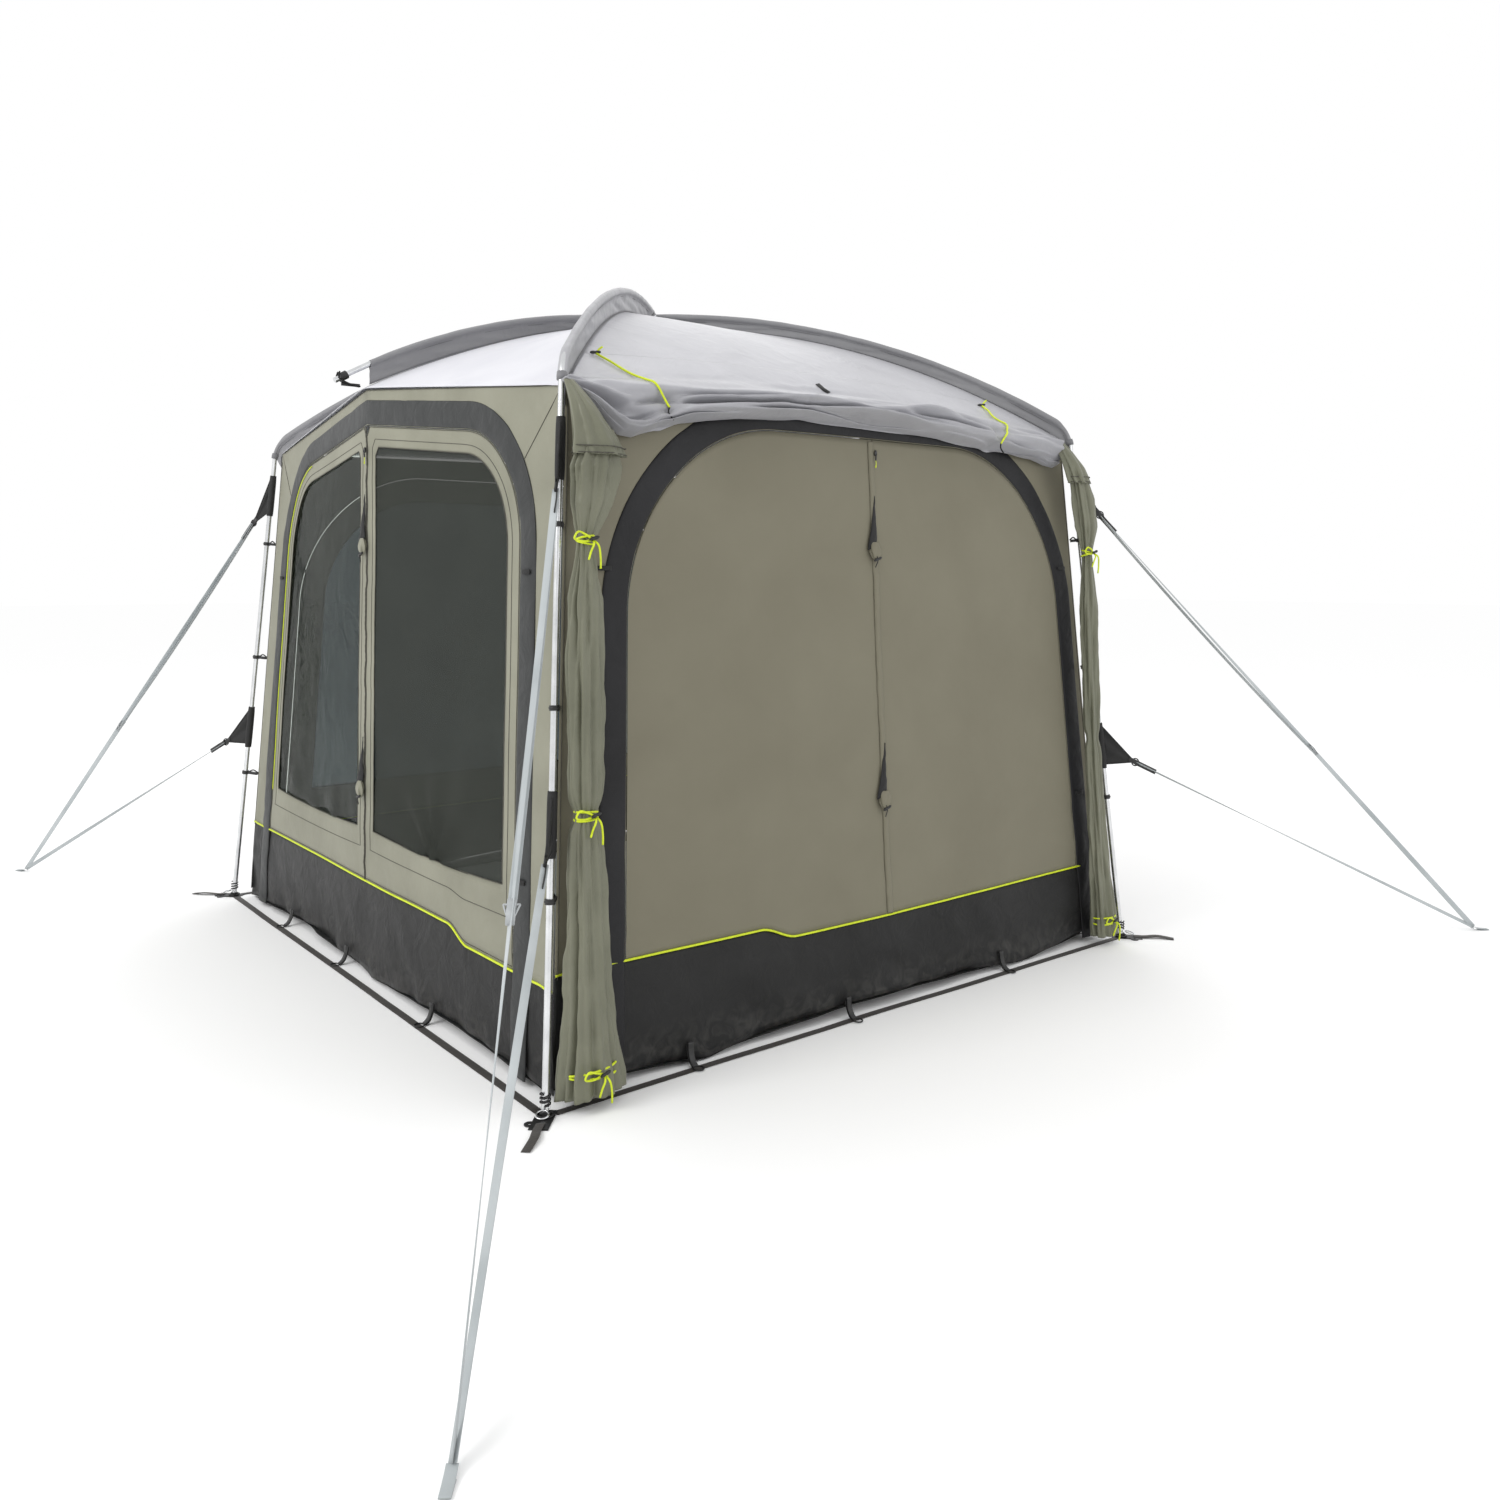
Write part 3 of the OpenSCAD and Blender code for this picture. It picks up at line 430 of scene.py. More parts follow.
def solid(name, dark, light, rough, metallic=0.0, scale=30.0, bump=0.1):
    """Plastic, elastic cord or metal with slight patches and grain."""
    m, nodes, links = new_material(name)
    where = nodes.new("ShaderNodeTexCoord")
    patches = noise_node(nodes, links, where, scale, 4.0)
    ramp = ramp_node(nodes, links, patches.outputs["Fac"], 0.35, 0.65, dark, light)
    skin = nodes.new("ShaderNodeBsdfPrincipled")
    links.new(ramp.outputs["Color"], skin.inputs["Base Color"])
    worn = map_range(nodes, links, patches.outputs["Fac"], to_min=rough * 0.8,
                     to_max=min(1.0, rough * 1.25))
    links.new(worn, skin.inputs["Roughness"])
    socket(skin, "Metallic", metallic)
    grain = crinkle_bump(nodes, links, where, scale * 8, bump, 0.0006)
    links.new(grain.outputs["Normal"], skin.inputs["Normal"])
    surface(nodes, links, skin)
    return m


def webbing(name, dark, light):
    return fabric(name, dark, light, rough=0.65, pitch=0.0016, crinkle=0.1, crinkle_scale=60.0)


OLIVE = fabric("olive_cloth", (0.235, 0.232, 0.175), (0.300, 0.296, 0.228), through=0.12, crinkle=0.28)
TUNNEL_OLIVE = fabric("tunnel_olive_cloth", (0.185, 0.172, 0.124), (0.205, 0.192, 0.140), through=0.05,
                      crinkle=0.10, crinkle_scale=5.0, specular=0.25, sheen=0.05)
BUNDLE_OLIVE = fabric("bundle_olive_cloth", (0.135, 0.138, 0.095), (0.190, 0.192, 0.138), rough=0.42,
                      through=0.05, crinkle=0.45, crinkle_scale=14.0, sheen=0.12)
ROOF_WHITE = fabric("roof_cloth", (0.72, 0.72, 0.77), (0.80, 0.80, 0.84), rough=0.5, through=0.14,
                    crinkle=0.2, crinkle_scale=5.0)
# painted shade: below 1.97 m the tunnel roof cloth is painted darker, down to 0.70 of itself at 1.80 m, for
# the shade on its hanging, tucked-under part
ROOF_GREY = fabric("tunnel_roof_cloth", (0.43, 0.43, 0.46), (0.50, 0.50, 0.53), rough=0.38, through=0.05,
                   crinkle=0.48, sheen=0.15, painted_shade=(1.80, 1.97, 0.70))
SLEEVE_GREY = fabric("sleeve_cloth", (0.23, 0.23, 0.24), (0.28, 0.28, 0.29), rough=0.5, crinkle=0.4,
                     crinkle_scale=16.0, through=0.1, sheen=0.1)
# painted light: a lighter copy of the sleeve cloth, for the light that falls on the near sleeve
NEAR_SLEEVE_PAINTED_LIT = fabric("near_sleeve_painted_lit_cloth", (0.34, 0.34, 0.36), (0.42, 0.42, 0.44), rough=0.45, crinkle=0.4,
                      crinkle_scale=16.0, through=0.1, sheen=0.15)
CHARCOAL = fabric("band_cloth", (0.013, 0.013, 0.014), (0.020, 0.020, 0.022), rough=0.5, crinkle=0.45,
                  crinkle_scale=14.0, sheen=0.02, specular=0.22)
FRONT_CHARCOAL = fabric("front_band_cloth", (0.026, 0.028, 0.028), (0.040, 0.042, 0.042), rough=0.48,
                        crinkle=0.4, crinkle_scale=14.0, sheen=0.05, through=0.05, specular=0.3)
MUD_CLOTH = dusty_fabric("mud_wall_cloth", (0.013, 0.013, 0.013), (0.021, 0.021, 0.021),
                         (0.12, 0.115, 0.105), 0.45, 0.14)
BLACK_CLOTH = fabric("black_cloth", (0.010, 0.010, 0.010), (0.020, 0.020, 0.020), rough=0.7, crinkle=0.3,
                     crinkle_scale=20.0, sheen=0.05)
GROUND_WEB = webbing("ground_webbing", (0.035, 0.031, 0.028), (0.058, 0.053, 0.048))
GUY_WEB = webbing("guy_webbing", (0.33, 0.36, 0.37), (0.47, 0.50, 0.51))
MESH_CLOTH = see_through("insect_mesh", (0.046, 0.050, 0.043), 0.34, 0.7, bump_scale=5.0, bump=0.35,
                         specular=0.08)
DARK_MESH = see_through("back_mesh", (0.030, 0.032, 0.030), 0.10, 0.7, bump_scale=5.0, specular=0.15)
CLEAR_FILM = see_through("clear_film", (0.012, 0.014, 0.014), 0.80, 0.05, (0.84, 0.88, 0.84), 7.0, 0.5, 0.6)
TINTED_FILM = see_through("tinted_film", (0.028, 0.036, 0.040), 0.40, 0.12, (0.50, 0.58, 0.62), 4.0, 0.3)
STEEL = solid("steel_pole", (0.62, 0.63, 0.64), (0.74, 0.75, 0.76), 0.24, metallic=1.0, scale=18.0)
BLACK_PLASTIC = solid("black_plastic", (0.010, 0.010, 0.010), (0.018, 0.018, 0.018), 0.42)
GREY_PLASTIC = solid("grey_plastic", (0.36, 0.38, 0.39), (0.46, 0.48, 0.49), 0.45)
LIME = solid("lime_cord", (0.56, 0.66, 0.01), (0.66, 0.78, 0.02), 0.5, scale=90.0, bump=0.3)
SLEEVE_DARK = fabric("sleeve_tape", (0.130, 0.130, 0.138), (0.180, 0.180, 0.190), rough=0.55, crinkle=0.2)
ZIP_METAL = solid("zip_metal", (0.05, 0.05, 0.05), (0.09, 0.09, 0.09), 0.35, metallic=0.8)
SEAM_DARK = solid("seam_thread", (0.050, 0.048, 0.036), (0.080, 0.076, 0.060), 0.7, scale=200.0, bump=0.5)


# ---- walls ----
class Wall:
    """One wall in its own frame: u to the right as seen from outside, z up, out of the wall."""

    def __init__(self, name, turn, gable, seed):
        self.name, self.turn, self.gable, self.seed = name, turn, gable, seed
        self.ref = 1.250 if gable else 1.130
        self.half = 1.037 if gable else 0.965
        self.top = 1.877 if gable else 1.806
        self.slope = 0.105 if gable else 0.0
        self.radius = 0.360 if gable else 0.550
        self.shift = 0.0 if gable else 0.045
        self.step_u = 0.700 if gable else -0.400

    def place(self, x, y, z):
        c, s = math.cos(self.turn), math.sin(self.turn)
        return np.stack([c * x - s * y, s * x + c * y, z + 0 * x], axis=-1)

    def point(self, u, z, out=0.0, relief=1.0):
        u, z, out = np.broadcast_arrays(np.asarray(u, float), np.asarray(z, float), np.asarray(out, float))
        t = z / EAVE_Z
        hem = (HEM_S * math.cos(CORNER_A), HEM_S * math.sin(CORNER_A))
        eave = (EAVE_S * math.cos(CORNER_A), EAVE_S * math.sin(CORNER_A))
        if not self.gable:
            hem, eave = hem[::-1], eave[::-1]
        w = u / self.ref
        bend = np.sqrt(w * w + 0.0004)
        along = lerp(hem[0], eave[0], t)
        corner = lerp(hem[1], eave[1], t)
        middle = GABLE_MID if self.gable else lerp(SIDE_MID_FOOT, SIDE_MID_EAVE, t)
        return self.place(w * along, -lerp(middle, corner, bend) - out - relief * self.relief(u, z), z)

    def relief(self, u, z):
        """Tension folds and soft dents of the stretched cloth, in metres."""
        s = self.seed
        r = 0.0035 * noise(u * 1.6, z * 1.3, seed=s) + 0.0012 * noise(u * 5, z * 3.5, seed=s + 1)
        for corner in (-self.ref, self.ref):
            for height in (EAVE_Z, MUD_Z):
                du, dz = u - corner, z - height
                away = np.hypot(du, dz) + 0.02
                angle = np.arctan2(dz, du * np.sign(-corner))
                r = r + 0.0038 * np.exp(-away / 0.45) * noise(angle * 7, away * 0.8, seed=s + 2)
        zip_near = np.exp(-np.abs(u - self.shift) / 0.06)
        r = r + 0.0022 * zip_near * noise(z * 26, (u - self.shift) * 6, seed=s + 3)
        low = smooth((0.36 - z) / 0.2)
        r = r + low * (0.0055 * noise(u * 4.5, z * 3, seed=s + 4)
                       + 0.003 * noise(u * 11 + z * 7, z * 5, seed=s))
        edge = smooth((np.abs(u) - self.ref + 0.02) / 0.02)
        return r * (1 - edge)

    def seam_z(self, u):
        if self.gable:
            return lerp(PEAK_Z, EAVE_Z, np.abs(u) / self.ref)
        return lerp(EAVE_Z + 0.020, EAVE_Z, np.abs(u) / self.ref)

    def mud_top(self, u):
        x = np.clip((np.asarray(u, float) - self.step_u) / (3 * STEP_HALF), -1, 1)
        return MUD_Z - MUD_STEP * x * (3 - x * x) / 4

    def arch(self, grow, base, t):
        """Half of a door arch, from its foot (t = 0) over its shoulder to the middle (t = 1)."""
        half, top, r = self.half + grow, self.top + grow, self.radius + grow
        tilt = math.atan(self.slope)
        cz = top - self.slope * (half - r) - r / math.cos(tilt)
        side, arc = ARCH_SIDE, ARCH_TURN
        t = np.asarray(t, float)
        a = (math.pi / 2 - tilt) * np.clip((t - side) / (arc - side), 0, 1)
        over = (half - r + r * math.sin(tilt)) * (1 - np.clip((t - arc) / (1 - arc), 0, 1))
        u = np.where(t <= side, half, np.where(t <= arc, half - r + r * np.cos(a), over))
        z = np.where(t <= side, lerp(base, cz, np.clip(t / side, 0, 1)),
                     np.where(t <= arc, cz + r * np.sin(a), top - self.slope * over))
        return u, z

    def outline(self, base, t):
        """The wall's own outline beside half an arch: up the corner, then along the roof seam."""
        half, turn = self.ref - 0.002, 0.55
        u = half * np.minimum(1, (1 - t) / (1 - turn))
        z = np.where(t <= turn, lerp(base, self.seam_z(half) - 0.002, np.clip(t / turn, 0, 1)),
                     self.seam_z(u) - 0.002)
        return u, z, np.where(t <= turn, 0, self.shift * (t - turn) / (1 - turn))


WALLS = {
    "front": Wall("front", 0.0, True, 3),
    "right": Wall("right", math.pi / 2, False, 11),
    "back": Wall("back", math.pi, True, 23),
    "left": Wall("left", -math.pi / 2, False, 37),
}


def grid_cloth(name, wall, u, z, out, material, thickness, slot, **more):
    """A sheet on a wall from a grid of wall coordinates."""
    p = wall.point(u, z, out)
    return cloth(name, p.reshape(-1, 3), grid_faces(*u.shape), material, thickness, slot, **more)


def wall_cloth(wall, material, slot, stands_for):
    """The cloth between the door arch and the wall's edges, one strip from foot to foot."""
    n, m = 90, 14
    t = np.linspace(0, 1, n)
    parts_u, parts_z = [], []
    for side in (-1, 1):
        ou, oz, shift = wall.outline(wall.mud_top(side * wall.ref) - 0.004, t)
        au, az = wall.arch(0.0, wall.mud_top(side * wall.half) - 0.004, t)
        a = np.stack([side * ou + shift, oz], -1)
        b = np.stack([side * au + wall.shift, az], -1)
        run = [lerp(a, b, k / m) for k in range(m + 1)]
        grid = np.stack(run, 1)
        grid = grid if side < 0 else grid[::-1][1:]
        parts_u.append(grid[..., 0])
        parts_z.append(grid[..., 1])
    u, z = np.concatenate(parts_u), np.concatenate(parts_z)
    length = 2 * (1.6 + wall.ref)
    return grid_cloth(wall.name + "_wall_cloth", wall, u, z, CLOTH_OUT, material, CLOTH_THICK, slot,
                      stands_for=stands_for, length=length)


def door_band(wall, material, out=0.0045):
    """The dark frame over the arch, from foot to foot, its edges turned under."""
    n = 110
    t = np.linspace(0, 1, n)
    across = np.array([0, 0.04, 0.1, 0.3, 0.5, 0.7, 0.9, 0.96, 1.0])
    rise = np.array([-0.002, 0.0, 0.0012, 0.0018, 0.0020, 0.0018, 0.0012, 0.0, -0.002])
    us, zs, outs = [], [], []
    for side in (-1, 1):
        grow = np.array([lerp(BAND_W, 0.002, k) for k in across])
        rows = [wall.arch(g, 0.016, t) for g in grow]
        u = np.stack([side * r[0] + wall.shift for r in rows], 1)
        z = np.minimum(np.stack([r[1] for r in rows], 1), wall.seam_z(u) - 0.004 - 0.002 * (1 - across))
        o = out + rise[None, :] \
            + 0.0015 * noise(t[:, None] * 30 + side * 9, across[None, :] * 2, seed=wall.seed)
        if side > 0:
            u, z, o = u[::-1][1:], z[::-1][1:], o[::-1][1:]
        us.append(u)
        zs.append(z)
        outs.append(o)
    return grid_cloth(wall.name + "_arch_band", wall, np.concatenate(us), np.concatenate(zs),
                      np.concatenate(outs), material, CLOTH_THICK, "band_cloth",
                      stands_for=[wall.name + "_band"], length=2 * (1.75 + wall.half))


def mud_wall(wall):
    """The dark lower wall, with a loose scalloped hem that trails on the ground between its pegs."""
    n, m = 150, 16
    us = np.linspace(-wall.ref + 0.002, wall.ref - 0.002, n)[:, None]
    v = np.linspace(0, 1, m)[None, :]
    hem = 0.006 + 0.034 * np.abs(np.sin(us * 2.4 + wall.seed)) ** 0.8
    z = lerp(wall.mud_top(us), hem, v)
    loose = smooth((v - 0.35) / 0.65)
    out = -0.0005 + loose * (0.010 * noise(us * 5, v * 2, seed=wall.seed + 7)
                             + 0.006 * noise(us * 13, v * 3, seed=wall.seed + 8) - 0.004)
    u = us + 0 * v
    grid_cloth(wall.name + "_mud_cloth", wall, u, z, out, MUD_CLOTH, CLOTH_THICK, "mud_wall_cloth",
               stands_for=[wall.name + "_mud_wall"], length=2 * wall.ref)
    x = np.linspace(-wall.ref + 0.004, wall.ref - 0.004, 200)
    piece(wall.name + "_lime_piping", tube_mesh(wall.point(x, wall.mud_top(x) + 0.001, 0.0028), 0.0034, 8),
          LIME)
    # the sewn flap that lies along the ground inside the hem
    w = np.linspace(0, 1, 7)[None, :]
    fu = np.linspace(-wall.ref + 0.05, wall.ref - 0.05, 130)[:, None]
    fz = 0.0025 + 0.030 * (1 - w) ** 2 * np.abs(np.sin(fu * 2.4 + wall.seed)) ** 0.8 \
        + 0.003 * np.abs(noise(fu * 9, w * 3, seed=wall.seed + 5)) * w
    fo = -0.004 - 0.11 * w + 0.008 * noise(fu * 7, w * 2, seed=wall.seed + 9)
    grid_cloth(wall.name + "_mud_flap", wall, fu + 0 * w, fz, fo, MUD_CLOTH, FLAP_THICK, "mud_wall_cloth",
               held="laid", length=2 * wall.ref - 0.1)


def leaf_columns(wall, side, inset, base, n=70, m=60):
    """Columns of a door leaf from the hinge to the zip edge, each from the base up to the arch."""
    t = np.concatenate([np.linspace(ARCH_SIDE, ARCH_TURN, n // 2, endpoint=False),
                        np.linspace(ARCH_TURN, 1.0, n - n // 2)])
    u, z = wall.arch(-LEAF_GAP - inset, 0.4, t)
    w = ZIP_U + inset
    u = np.maximum(u, w)
    keep = np.concatenate([[True], np.diff(u) < -1e-6])
    u, z = u[keep], z[keep]
    u = side * u + wall.shift
    base_z = base(u) if callable(base) else np.full(len(u), base)
    v = np.linspace(0, 1, m)
    return np.repeat(u[:, None], m, 1), lerp(base_z[:, None], z[:, None], v[None, :])


def ring_between(outer, inner, m):
    """A grid between two loops with the same number of points."""
    return np.stack([lerp(outer, inner, k / m) for k in range(m + 1)], 1)


def stitching(wall, name, outer, inner, middle, body="root"):
    """The seams along a window border: at its inner edge, at a share of its width and at its outer edge."""
    seams = []
    for share, radius in ((1.0, 0.0016), (middle, 0.0011), (0.04, 0.0014)):
        loop = lerp(outer, inner, share)
        loop = np.concatenate([loop, loop[:1]])
        seams.append(tube_mesh(wall.point(loop[:, 0] + wall.shift, loop[:, 1], SEAM_OUT), radius, 5))
    piece(name + "_stitching", joined(seams), SEAM_DARK, body)


def bordered_leaf(wall, side, name, film, film_slot):
    """A door leaf: a cloth border with a stitched inner edge, and its window."""
    body = name + "_door"
    base = lambda u: wall.mud_top(u) + SEAM_GAP
    parts = []
    for inset, b in ((0.0, base), (BORDER_W, SILL + BORDER_W - 0.07)):
        w, hinge = ZIP_U + inset, wall.half - LEAF_GAP - inset
        foot = float(b(side * hinge)) if callable(b) else b
        end = float(b(side * w)) if callable(b) else b
        t = np.linspace(0, 1, 121)
        u, z = wall.arch(-LEAF_GAP - inset, foot, t)
        last = np.searchsorted(-u, -w)
        u, z = u[:last], z[:last]
        line = np.stack([u, z], -1)
        along = distance_along(line)
        at = np.linspace(0, along[-1], 100)
        arch = np.stack([np.interp(at, along, line[:, k]) for k in range(2)], -1)
        zip_line = np.stack([np.full(50, w), lerp(arch[-1][1], end, np.linspace(0, 1, 51)[1:])], -1)
        bu = lerp(w, hinge, np.linspace(0, 1, 42)[1:-1])
        bz = np.array([float(b(side * x)) if callable(b) else b for x in bu])
        sag = 0.0 if callable(b) else 0.012
        bz = bz - sag * np.sin(np.linspace(0, math.pi, 42)[1:-1])
        loop = np.concatenate([arch, zip_line, np.stack([bu, bz], -1)])
        loop[:, 0] *= side
        parts.append(loop)
    grid = ring_between(parts[0], parts[1], 8)
    u, z = grid[..., 0] + wall.shift, grid[..., 1]
    p = wall.point(u, z, CLOTH_OUT)
    faces = grid_faces(*u.shape, wrap_rows=True)
    cloth(name + "_border", p.reshape(-1, 3), faces, OLIVE, CLOTH_THICK, "olive_cloth", body=body,
          stands_for=[name + "_leaf"], length=4.9)
    cu, cz = leaf_columns(wall, side, BORDER_W - 0.006, SILL - 0.012)
    crumple = 0.0
    if film == CLEAR_FILM:
        low = smooth((0.72 - cz) / 0.25)
        crumple = 0.004 * noise(cu * 2.2, cz * 1.4, seed=5) + low * 0.006 * noise(cu * 9, cz * 12, seed=6)
    elif film == MESH_CLOTH:
        pull = np.exp(-np.hypot(cu - 0.52, cz - 0.50) / 0.22)
        spread = np.arctan2(cz - 0.47, cu - 0.52)
        crumple = pull * 0.014 * np.sin(spread * 9) + 0.002 * noise(cu * 3, cz * 2, seed=8)
    pane_p = wall.point(cu, cz, -0.0005 + crumple)
    cloth(name + "_pane", pane_p.reshape(-1, 3), grid_faces(*cu.shape), film, FILM_THICK, film_slot,
          body=body, stands_for=[name + "_window"], length=1.4)
    stitching(wall, name, parts[0], parts[1], 0.62, body)


def solid_leaf(wall, side, name, material):
    """A plain cloth leaf in one piece."""
    base = lambda u: wall.mud_top(u) + SEAM_GAP
    u, z = leaf_columns(wall, side, 0.0, base, 80, 80)
    grid_cloth(name + "_panel", wall, u, z, CLOTH_OUT, material, CLOTH_THICK, "dark_olive_cloth",
               body=name + "_door", stands_for=[name + "_leaf"], length=1.5)


# ---- roof ----
def roof_z(s):
    return CROWN_Z - (CROWN_Z - EAVE_Z) * np.power(np.clip(s / EAVE_S, 0, 2), CORNER_BOW)


def turned(points, angle):
    c, s = math.cos(angle), math.sin(angle)
    p = np.asarray(points, float)
    return np.stack([c * p[..., 0] - s * p[..., 1], s * p[..., 0] + c * p[..., 1], p[..., 2]], -1)


def roof_panel(wall, material):
    """One roof panel, from the eave up to the crown, sagging a little between its poles."""
    n, m = 80, 90
    t = np.linspace(0, 1, n)[:, None]
    v = np.linspace(0, 1, m)[None, :]
    s = lerp(EAVE_S + 0.006, 0.006, t)
    across, inward = (math.cos(CORNER_A), math.sin(CORNER_A))
    if not wall.gable:
        across, inward = inward, across
    edge_x, edge_y, z_edge = across * s - 0.002 * inward, -inward * s, roof_z(s)
    if wall.gable:
        y_mid = -lerp(GABLE_MID + 0.014, 0.006, t)
        z_mid = lerp(PEAK_Z + 0.004, CROWN_Z, 1 - (1 - t) ** RIDGE_BOW)
    else:
        y_mid, z_mid = edge_y - 0.024 * (1 - t), z_edge + 0.030 * (1 - t)
    k = np.abs(2 * v - 1)
    bend = np.minimum(np.sqrt(k * k + 0.0009), 1) if wall.gable else k * k
    x = edge_x * (2 * v - 1)
    y = lerp(y_mid, edge_y, bend)
    z = lerp(z_mid, z_edge, bend)
    free = np.sin(math.pi * t) * np.sin(math.pi * (k if wall.gable else v)) ** 0.8
    from_corner = (1 - k) * edge_x
    pull = np.exp(-(from_corner * 2.2 + t * 1.2) / 0.35) * np.minimum(1, (1 - k) * 12)
    fan = np.arctan2(t + 0.02, (1 - k) + 0.02)
    z = z - 0.018 * free + 0.005 * noise(v * 5, t * 4, seed=wall.seed) * free \
        + 0.003 * pull * noise(fan * 5, from_corner * 2, seed=wall.seed + 1)
    points = turned(np.stack([x, y, z], -1), wall.turn)
    cloth(wall.name + "_roof_cloth", points.reshape(-1, 3), grid_faces(n, m), material, CLOTH_THICK,
          "roof_cloth", stands_for=["roof_" + wall.name], length=2.4)


# ---- pole sleeves ----
def elbow_geometry(top_z):
    """The elbow's centre, and the angle at which it meets the roof arc."""
    c, r = top_z - ROOF_ARC_R, ROOF_ARC_R - ELBOW_R
    px, pz = DIAGONAL - ELBOW_R * math.cos(LEAN), -ELBOW_R * math.sin(LEAN) - c
    b = 2 * (-px * math.sin(LEAN) + pz * math.cos(LEAN))
    t = (-b + math.sqrt(b * b - 4 * (px * px + pz * pz - r * r))) / 2
    cs = px - t * math.sin(LEAN)
    cz = -ELBOW_R * math.sin(LEAN) + t * math.cos(LEAN)
    return cs, cz, math.atan2(cz - c, cs)


def pole_sleeve(name, line, feet, side, stands_for, seed):
    """Cloth sewn round a pole, pinched under it into a double web that runs down to its feet on the
    roof. side points across the web."""
    ring, web = 16, 7
    along = distance_along(line)
    points = []
    for i, p in enumerate(line):
        drop = np.linalg.norm(feet[i] - p)
        down = (feet[i] - p) / drop
        r = SLEEVE_R * (1.02 + 0.09 * float(noise(along[i] * 18, 0.5, seed=seed)))
        rim = []
        for k in range(web):
            v = (k + 1) / web
            wave = 0.005 * math.sin(math.pi * (0.15 + 0.85 * v)) * min(1.0, drop / 0.06) \
                * float(noise(along[i] * 15 + v * 2.5, v * 1.5, seed=seed + 2))
            rim.append((p + down * lerp(r * 1.3, drop, v) + side * wave, 0.0014))
        around = [math.radians(22 + 316 * k / ring) for k in range(ring + 1)]
        points += [c + side * w for c, w in rim[::-1]]
        points += [p + down * (r * math.cos(a)) + side * (r * math.sin(a)) for a in around]
        points += [c - side * w for c, w in rim]
    columns = ring + 1 + 2 * web
    faces = grid_faces(len(line), columns, wrap_columns=True)
    # painted light: the near sleeve gets the lighter copy of the sleeve cloth
    material = NEAR_SLEEVE_PAINTED_LIT if name.endswith("near") else SLEEVE_GREY
    obj = place(mesh_object(name, points, faces, material), stands_for=[stands_for])
    # the seam where the sleeve is sewn to the roof, and the line under the pole
    for share, radius in ((0.02, 0.0016), (0.98, 0.0018)):
        for sign in (-1, 1):
            seam = [lerp(p + unit(f - p) * SLEEVE_R * 1.25, f, share) + side * 0.0022 * sign
                    for p, f in zip(line, feet)]
            q, g = tube_mesh(seam, radius, 5)
            which = ("upper" if share < 0.5 else "lower") + ("_a" if sign < 0 else "_b")
            place(mesh_object(f"{name}_seam_{which}", q, g, SLEEVE_DARK))


def diagonal_sleeve(corner, top_z, open_s, node, seed):
    """The sleeve of one half of a diagonal pole, out along the roof arc and round the elbow."""
    angle = CORNERS[corner]
    cs, cz, top_a = elbow_geometry(top_z)
    centre = top_z - ROOF_ARC_R
    arc = [(ROOF_ARC_R * math.cos(a), centre + ROOF_ARC_R * math.sin(a))
           for a in np.linspace(math.acos(open_s / ROOF_ARC_R), top_a, 90)]
    elbow = [(cs + ELBOW_R * math.cos(a), cz + ELBOW_R * math.sin(a))
             for a in np.linspace(top_a, math.radians(12), 18)[1:]]
    feet = []
    for k, (s, z) in enumerate(arc):
        fs = lerp(open_s, 1.560, k / (len(arc) - 1))
        feet.append((fs, float(roof_z(fs)) + 0.001))
    for k in range(len(elbow)):
        v = (k + 1) / len(elbow)
        feet.append((lerp(1.560, 1.606, smooth(v * 2)), float(roof_z(1.560)) - 0.085 * v))
    lift = lambda q: np.array([[math.cos(angle) * s, math.sin(angle) * s, z] for s, z in q])
    side = np.array([-math.sin(angle), math.cos(angle), 0])
    pole_sleeve("pole_sleeve_" + corner, lift(arc + elbow), lift(feet), side, node, seed)
    # the cuff at the sleeve's end, round the leg's top
    end = lift(elbow[-2:])
    d = unit(end[1] - end[0])
    shape = tube_mesh([end[1] - d * 0.012, end[1], end[1] + d * 0.010], [0.0142, 0.0146, 0.0138], 24)
    piece(f"pole_sleeve_{corner}_cuff", shape, SLEEVE_DARK)


def ridge_sleeve(sign, seed):
    y = np.linspace(0.070, GABLE_MID - 0.010, 70)
    z = RIDGE_POLE_Z - RIDGE_ARC_R + np.sqrt(RIDGE_ARC_R ** 2 - y * y)
    t = (GABLE_MID + 0.014 - y) / (GABLE_MID + 0.008)
    feet_z = lerp(PEAK_Z + 0.004, CROWN_Z, 1 - np.clip(1 - t, 0, 1) ** RIDGE_BOW) + 0.001
    line, feet = (np.stack([0 * y, sign * y, q], -1) for q in (z, feet_z))
    pole_sleeve("ridge_sleeve_" + ("front" if sign < 0 else "back"), line, feet, np.array([1.0, 0, 0]),
                "sleeve_ridge", seed)


# ---- the rolled-up tunnel over the right wall ----
# each tie: (along the wall, height) of its upper and lower ends
TIES = (((-0.89, 2.00), (-0.78, 1.83)), ((0.76, 1.99), (0.61, 1.82)))
NEAR_GATHER = (-1.100, 1.885)      # where the roll's cloth runs together at the near sleeve


def tunnel_roof_z(x, y):
    """The height of the roof cloth over the right wall."""
    inward, across = math.cos(CORNER_A), math.sin(CORNER_A)
    s = x / inward
    for _ in range(5):
        t = np.clip(1 - s / EAVE_S, 0, 1)
        k = np.clip(np.abs(y) / (across * s), 0, 1)
        s = (x - 0.024 * (1 - t) * (1 - k * k)) / inward
    sag = 0.018 * np.sin(math.pi * t) * np.cos(math.pi * k / 2) ** 0.8
    return roof_z(s) + 0.030 * (1 - t) * (1 - k * k) - sag


